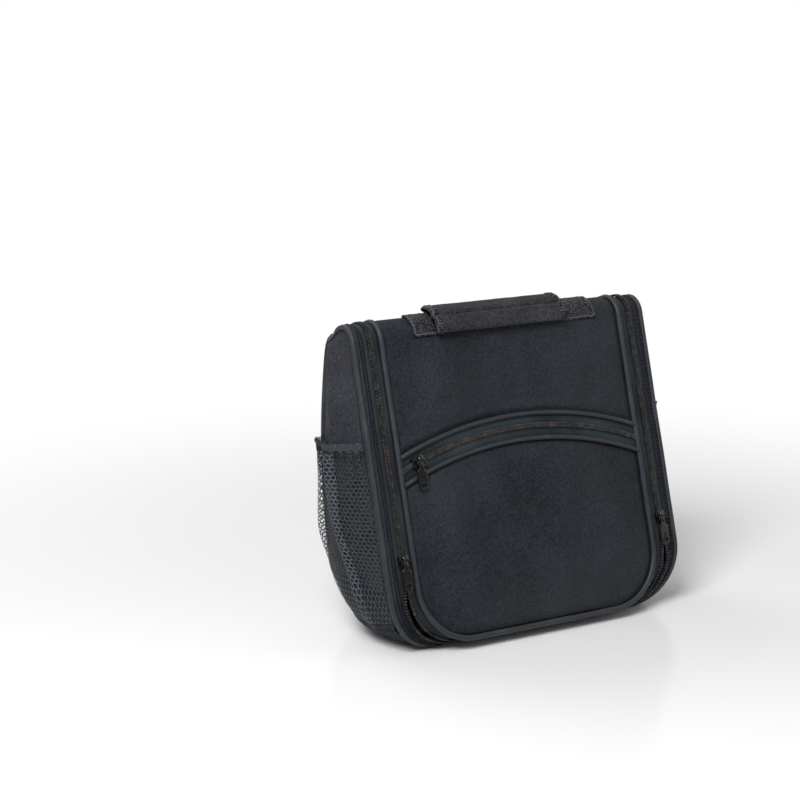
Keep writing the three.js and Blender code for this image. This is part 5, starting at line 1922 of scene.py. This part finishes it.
@dataclass
class Inside:
    """Linings, clear pockets, the dished inner wall, its zips and nets, and the hook."""

    lining_depth: float = 5 * MM
    pocket_depth: float = 3 * MM
    wall_depth: float = 24 * MM
    wall_height: float = 112 * MM
    wall_foot: float = 7 * MM
    wall_half: float = 116 * MM
    wall_binding: float = 9 * MM
    zip_half: float = 92 * MM
    zip_margin: float = 3 * MM
    zip_width: float = 13 * MM
    net_half: float = 88 * MM
    net_foot: float = 14 * MM
    net_height: float = 74 * MM
    clear_half: float = 90 * MM
    clear_low: float = 190 * MM
    back_inset: float = 14 * MM
    back_pocket: float = 64 * MM
    pitch: float = 1.35 * MM

    @property
    def seat(self) -> float:
        """Inner face of the flap lining, out from the front plane."""
        return -self.lining_depth - CUT.sewn_gap

    @staticmethod
    def over_fold(run: float) -> float:
        """How far the cloth has come over the fold, from 0 on the flap to 1 on the top."""
        return ease(run, CUT.height - 12 * MM, CUT.height)

    def build(self) -> None:
        """Make everything inside the bag."""
        self.linings()
        self.back()
        self.clear_front()
        self.wall()
        hardware = Hardware()
        for name, height, seat, facing in (
                ("inner_wall", 99 * MM, -self.wall_depth + CUT.sewn_gap, 1),
                ("flap_edge", 37 * MM, self.seat, -1),
                ("flap_middle", 178 * MM, self.seat, -1)):
            self.zip(name, height, seat, facing, hardware)
        self.hook()

    def linings(self) -> None:
        """Lining of the flap and top in one piece, and the lining behind the arched pocket."""
        half = CUT.panel_half
        end = BAG.whole_run - 2 * CUT.panel

        def flap(u: float, v: float) -> Vector:
            """A point of the lining's hidden face."""
            x = half * spread(u)
            run = mix(CUT.foot_at(x, CUT.corner - CUT.panel_inset), end, v)
            over_fold = self.over_fold(run)
            depth = mix(-self.lining_depth + CUT.lining, CUT.panel_rise - CUT.panel - CUT.sewn_gap, over_fold)
            slack = wander(x * 16, run * 16, 4.0) * 0.3 * MM
            return BAG.over(x, run, depth + slack)

        lining = cut_cloth("flap_and_top_lining", (72, 110), (2 * half, end), flap, BAG.out, CUT.lining,
                           LINING, fold_bend(), "lining", ["flap_lining", "top_lining"])
        2 * half
        0.93 * 2 * half * end
        wide = CUT.half_width - 2 * CUT.panel_inset

        def pocket(u: float, v: float) -> Vector:
            """A point of the pocket lining."""
            x = wide * spread(u)
            low = CUT.foot_at(x, CUT.corner - 2 * CUT.panel_inset)
            return BAG.plane(x, mix(low, CUT.arch_apex, v), -self.pocket_depth + CUT.lining)

        inner = cut_cloth("arched_pocket_lining", (40, 40), (2 * wide, CUT.arch_apex), pocket, BAG.out,
                          CUT.lining, LINING, Body.FLAP, "lining", ["pocket_lining"])
        cut_size(inner, (2 * wide, CUT.arch_apex), 2)

    def back(self) -> None:
        """Back lining and its clear pocket, with bound edges."""
        half = CUT.back_half_width - CUT.piping - CUT.sewn_gap - self.back_inset
        corner_x = CUT.back_half_width - CUT.back_corner
        foot = CUT.back_foot + CUT.back_corner
        radius = CUT.back_corner - CUT.piping - CUT.sewn_gap
        rear = BAG.back_y + 0.5 * CUT.panel - CUT.panel - CUT.sewn_gap
        top = CUT.back_height - 2 * CUT.panel

        def place(u: float, v: float) -> Vector:
            """A point of the lining's hidden face."""
            x = half * (2 * u - 1)
            over = min(max(abs(x) - corner_x, 0.0) / max(half - corner_x, 1e-6), 1.0)
            low = mix(foot - radius + self.back_inset, foot, over)
            z = mix(low, top, v)
            crease = 0.5 * MM * (1 + wander(x * 15, z * 15, 6.0)) * arching(v)
            return Vector((x, rear - 0.1 * MM - crease, z))

        lining = cut_cloth("back_inner_lining", (56, 56), (2 * half, top - foot + radius), place,
                           Vector((0, -1, 0)), CUT.lining, LINING, Body.BODY, "lining", ["back_lining"])
        cut_size(lining, (2 * half, top), 2)
        high = top - 2 * CUT.lining
        y = rear - CUT.lining - 2.2 * MM

        def clear(u: float, v: float) -> Vector:
            """A point of the clear sheet."""
            x = self.clear_half * (2 * u - 1)
            wave = 0.6 * MM * wander(x * 22, v * 2.5, 3.0)
            return Vector((x, y - wave, high - self.back_pocket * v))

        self.clear_sheet("back_clear_sheet", clear, self.back_pocket, Body.BODY, ["back_clear_pocket"],
                         Vector((0, -1, 0)), "back_inner_lining")

    def clear_sheet(self, name: str, place: Place, height: float, seat: Seat, nodes: Sequence[str],
                    facing: Vector, rests_on: str) -> None:
        """A clear sheet with a bound edge at its far side."""
        size = (2 * self.clear_half, height)
        sheet = cut_cloth(name, (60, 30), size, place, facing, CUT.clear, CLEAR, seat, "clear_sheet", nodes)
        edge = tubing([place(i / 60, 1.0) for i in range(61)], 1.1 * MM, 10)
        sewn_in(edge, f"{name}_binding", BOUND_EDGE, seat, "binding")

    def clear_front(self) -> None:
        """Clear pocket that runs from the flap over the fold."""
        end = BAG.whole_run - 2 * CUT.panel - 3 * MM
        low = CUT.panel_rise - CUT.panel - 2 * CUT.sewn_gap - CUT.lining

        def place(u: float, v: float) -> Vector:
            """A point of the clear sheet, from the rear of the top down to the flap."""
            x = self.clear_half * (2 * u - 1)
            run = mix(end, self.clear_low, v)
            over_fold = self.over_fold(run)
            depth = mix(self.seat - CUT.lining - 0.2 * MM, low - 0.4 * MM, over_fold)
            wave = 0.4 * MM * wander(x * 24, run * 20, 12.0)
            return BAG.over(x, run, depth - abs(wave))

        self.clear_sheet("front_clear_sheet", place, end - self.clear_low, fold_bend(),
                         ["flap_clear_pocket", "top_clear_pocket"], -BAG.out, "flap_and_top_lining")

    def dish(self, x: float) -> float:
        """Depth of the inner wall at a place across: dished from rim to middle."""
        edge = ease(abs(x), self.zip_half + self.zip_margin, self.wall_half)
        return mix(self.wall_depth, CUT.tape + 2 * CUT.sewn_gap + CUT.lining, edge)

    def wall(self) -> None:
        """Inner front wall, its bound edge and its net pocket."""
        radius = self.wall_half - CUT.half_width + CUT.corner

        def place(u: float, v: float) -> Vector:
            """A point of the wall's front face."""
            x = self.wall_half * (2 * u - 1)
            low = max(CUT.foot_at(x, radius), self.wall_foot)
            free = arching(v) * (1 - abs(2 * u - 1) ** 3)
            slack = 0.5 * MM * (wander(x * 17, v * 3, 11.0) + 0.6) * free
            return BAG.plane(x, mix(low, self.wall_height, v), -self.dish(x) - slack)

        cloth = cut_cloth("inner_wall_lining", (84, 40), (2 * self.wall_half, self.wall_height), place,
                          BAG.out, CUT.lining, LINING, Body.BODY, "lining", ["inner_front_wall"])

        def bound(u: float, v: float) -> Vector:
            """A point of the binding's front face."""
            x = self.wall_half * (2 * u - 1)
            puff = 0.5 * MM * arching(v) + 0.3 * MM * wander(x * 45, v, 7.0)
            up = self.wall_height + CUT.sewn_gap + self.wall_binding * (v - 0.05)
            return BAG.plane(x, up, -self.dish(x) + puff)

        binding = laid((120, 6), (2 * self.wall_half, self.wall_binding), bound, BAG.out)
        modified(binding, "SOLIDIFY", thickness=2.2 * MM, offset=-1.0, use_even_offset=False)
        worn_round(binding, 0.5 * MM, 50)
        sewn_in(binding, "inner_wall_bound_edge", BOUND_EDGE, Body.BODY, "binding", ["inner_wall_binding"])
        cut_size(cloth, (2 * self.wall_half, self.wall_height), 2)

        def net(u: float, v: float) -> Vector:
            """A point of the net pocket."""
            x = self.net_half * (2 * u - 1)
            full = 1.2 * MM * arching(u) ** 0.5 * ease(v, 0.0, 0.6)
            wave = 0.4 * MM * (1 + wander(x * 30, v * 4, 15.0)) * ease(v, 0.0, 0.3)
            out = -self.wall_depth + CUT.sewn_gap + full + wave
            return BAG.plane(x, self.net_foot + self.net_height * v, out)

        size = (2 * self.net_half, self.net_height)
        pocket = cut_cloth("inner_net_pocket", (80, 40), size, net, BAG.out, 0.0, NET, Body.BODY, "mesh",
                           ["inner_mesh_pocket"])
        edge = tubing([net(i / 80, 1.0) for i in range(81)], 1.3 * MM, 10)
        sewn_in(edge, "inner_net_binding", ELASTIC, Body.BODY, "binding")
        cut_size(pocket, size)

    def zip(self, name: str, height: float, seat: float, facing: int, hardware: Hardware) -> None:
        """A lining zip: tape, closed coil, slider and swinging pull."""
        body = Body.BODY if name == "inner_wall" else Body.FLAP
        out = BAG.out * facing

        def tape(u: float, v: float) -> Vector:
            """A point of the tape's face."""
            swell = 0.25 * MM * wander(u * 30, v * 3, height * 90)
            return BAG.plane(self.zip_half * (2 * u - 1), height + self.zip_width * (v - 0.5),
                             seat + facing * (CUT.tape + 0.5 * swell))

        def walk(share: float, side: int) -> Walk:
            """A place along one of the coil's rows."""
            middle = BAG.plane(mix(-self.zip_half, self.zip_half, share),
                               height + side * 0.5 * CUT.arch_coil_half,
                               seat + facing * (CUT.tape + 0.5 * CUT.row_height))
            return Walk(middle, Vector((1, 0, 0)), BAG.up, out)

        cut_cloth(f"{name}_zip_tape", (90, 8), (2 * self.zip_half, self.zip_width), tape, out, CUT.tape, TAPE,
                  body, "zip_tape", [f"{name}_zip"])
        closed_coil(f"{name}_zip_coil", int(2 * self.zip_half / self.pitch),
                    (0.62 * self.pitch, CUT.arch_coil_half + 0.3 * MM), walk, body)
        origin = BAG.plane(-0.85 * self.zip_half, height, seat + facing * CUT.tape)
        into = seated(Vector((facing, 0, 0)), BAG.up, out, origin)
        rider, _ = hardware.riding(CUT.row_height)
        top = CUT.row_height + hardware.running_gap + hardware.plate
        stud = shaped(bpy.ops.mesh.primitive_cylinder_add, radius=hardware.barrel, depth=3.1 * MM,
                      vertices=24, location=(0, 0, top + 0.45 * MM))
        worn_round(stud, 0.3 * MM, segments=3)
        slider = one_of(moved(rider, Matrix.Rotation(QUARTER_TURN, 4, "Z")), stud)
        lift = Matrix.Translation((0, 0, top + hardware.running_gap + 0.5 * hardware.pull))
        for kind, piece in (("slider", slider), ("pull", moved(hardware.hanging(flat=True), lift))):
            in_metal(moved(piece, into), f"{name}_zip_{kind}", f"{name}_{kind}")

    def hook(self) -> None:
        """Patch, strap and wire hook that hang the open bag."""
        wire = 1.3 * MM
        seat = self.seat - CUT.tape - CUT.row_height - CUT.sewn_gap
        low, high, half = 8 * MM, 48 * MM, 17 * MM
        bar, depth, strap_half = 62 * MM, 9 * MM, 11 * MM

        def patch(u: float, v: float) -> Vector:
            """A point of the patch's face, with its boxed stitches pressed in."""
            x = half * (2 * u - 1)
            edge = min(u, 1 - u, v, 1 - v)
            pressed = 0.3 * MM * bump(edge, 0.1, 0.03)
            return BAG.plane(x, mix(low, high, v), seat - CUT.lining + pressed)

        cut_cloth("hook_sewn_patch", (40, 44), (2 * half, high - low), patch, -BAG.out, CUT.lining,
                  BOUND_EDGE, Body.FLAP, "binding", ["hook_patch"])
        inner = wire + CUT.sewn_gap
        middle = inner + 0.55 * MM
        line = [Vector((0, high + 0.4 * MM, -depth))]
        foot = bar - middle
        line += [Vector((0, mix(high + 0.4 * MM, foot, s), -depth)) for s in (0.3, 0.6, 0.9)]
        line += [Vector((0, bar - middle * math.cos(t), -depth + middle * math.sin(t)))
                 for t in (2 * HALF_TURN * i / 28 for i in range(28))]

        def loop(u: float, v: float) -> Vector:
            """A point of the folded strap."""
            at = line[round(v * (len(line) - 1))]
            edge = 0.3 * MM * wander(v * 20, u, 1.0)
            return BAG.plane(strap_half * (2 * u - 1) + edge, at.y, at.z)

        strap = laid((20, len(line) - 1), (2 * strap_half, 22 * MM), loop)
        modified(strap, "SOLIDIFY", thickness=1.1 * MM, offset=0.0)
        sewn_in(strap, "hook_strap", STRAP, Body.FLAP, "webbing", ["hook_webbing"])
        ring, height, shank, bend = 17 * MM, 15 * MM, 8 * MM, 12 * MM
        corners = [(-3.0 * MM, height), (-ring, wire), (-ring + wire, 0.0), (ring - wire, 0.0), (ring, wire),
                   (0.0, height), (0.0, height + shank)]
        path: list[Vector] = []
        for (x0, y0), (x1, y1) in zip(corners, corners[1:]):
            path += [Vector((mix(x0, x1, s), mix(y0, y1, s), 0)) for s in (0.06, 0.35, 0.65, 0.94)]
        path += [Vector((bend * math.cos(t), height + shank + bend * (1 - math.sin(t)), 0))
                 for t in (QUARTER_TURN - 1.25 * HALF_TURN * i / 40 for i in range(41))]
        spine = [BAG.plane(p.x, bar + p.y, -depth) for p in path]
        hook = tubing(spine, wire, 14, [BAG.out] * len(spine))
        sewn_in(hook, "wire_hook", HOOK_WIRE, "hook", "hook_wire", ["hook"], 60)


def main() -> None:
    """Build the bag in the order that it is sewn."""
    logging.basicConfig(level=logging.INFO, format="%(message)s")
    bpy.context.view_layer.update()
    Studio().build()
    shell = Shell()
    shell.build()
    FlapCloth().build()
    RearStrip().build()
    MainZip().build()
    ArchZip().build()
    Hardware().build()
    Handle().build()
    SidePocket(shell).build()
    Inside().build()


if __name__ == "__main__":
    main()
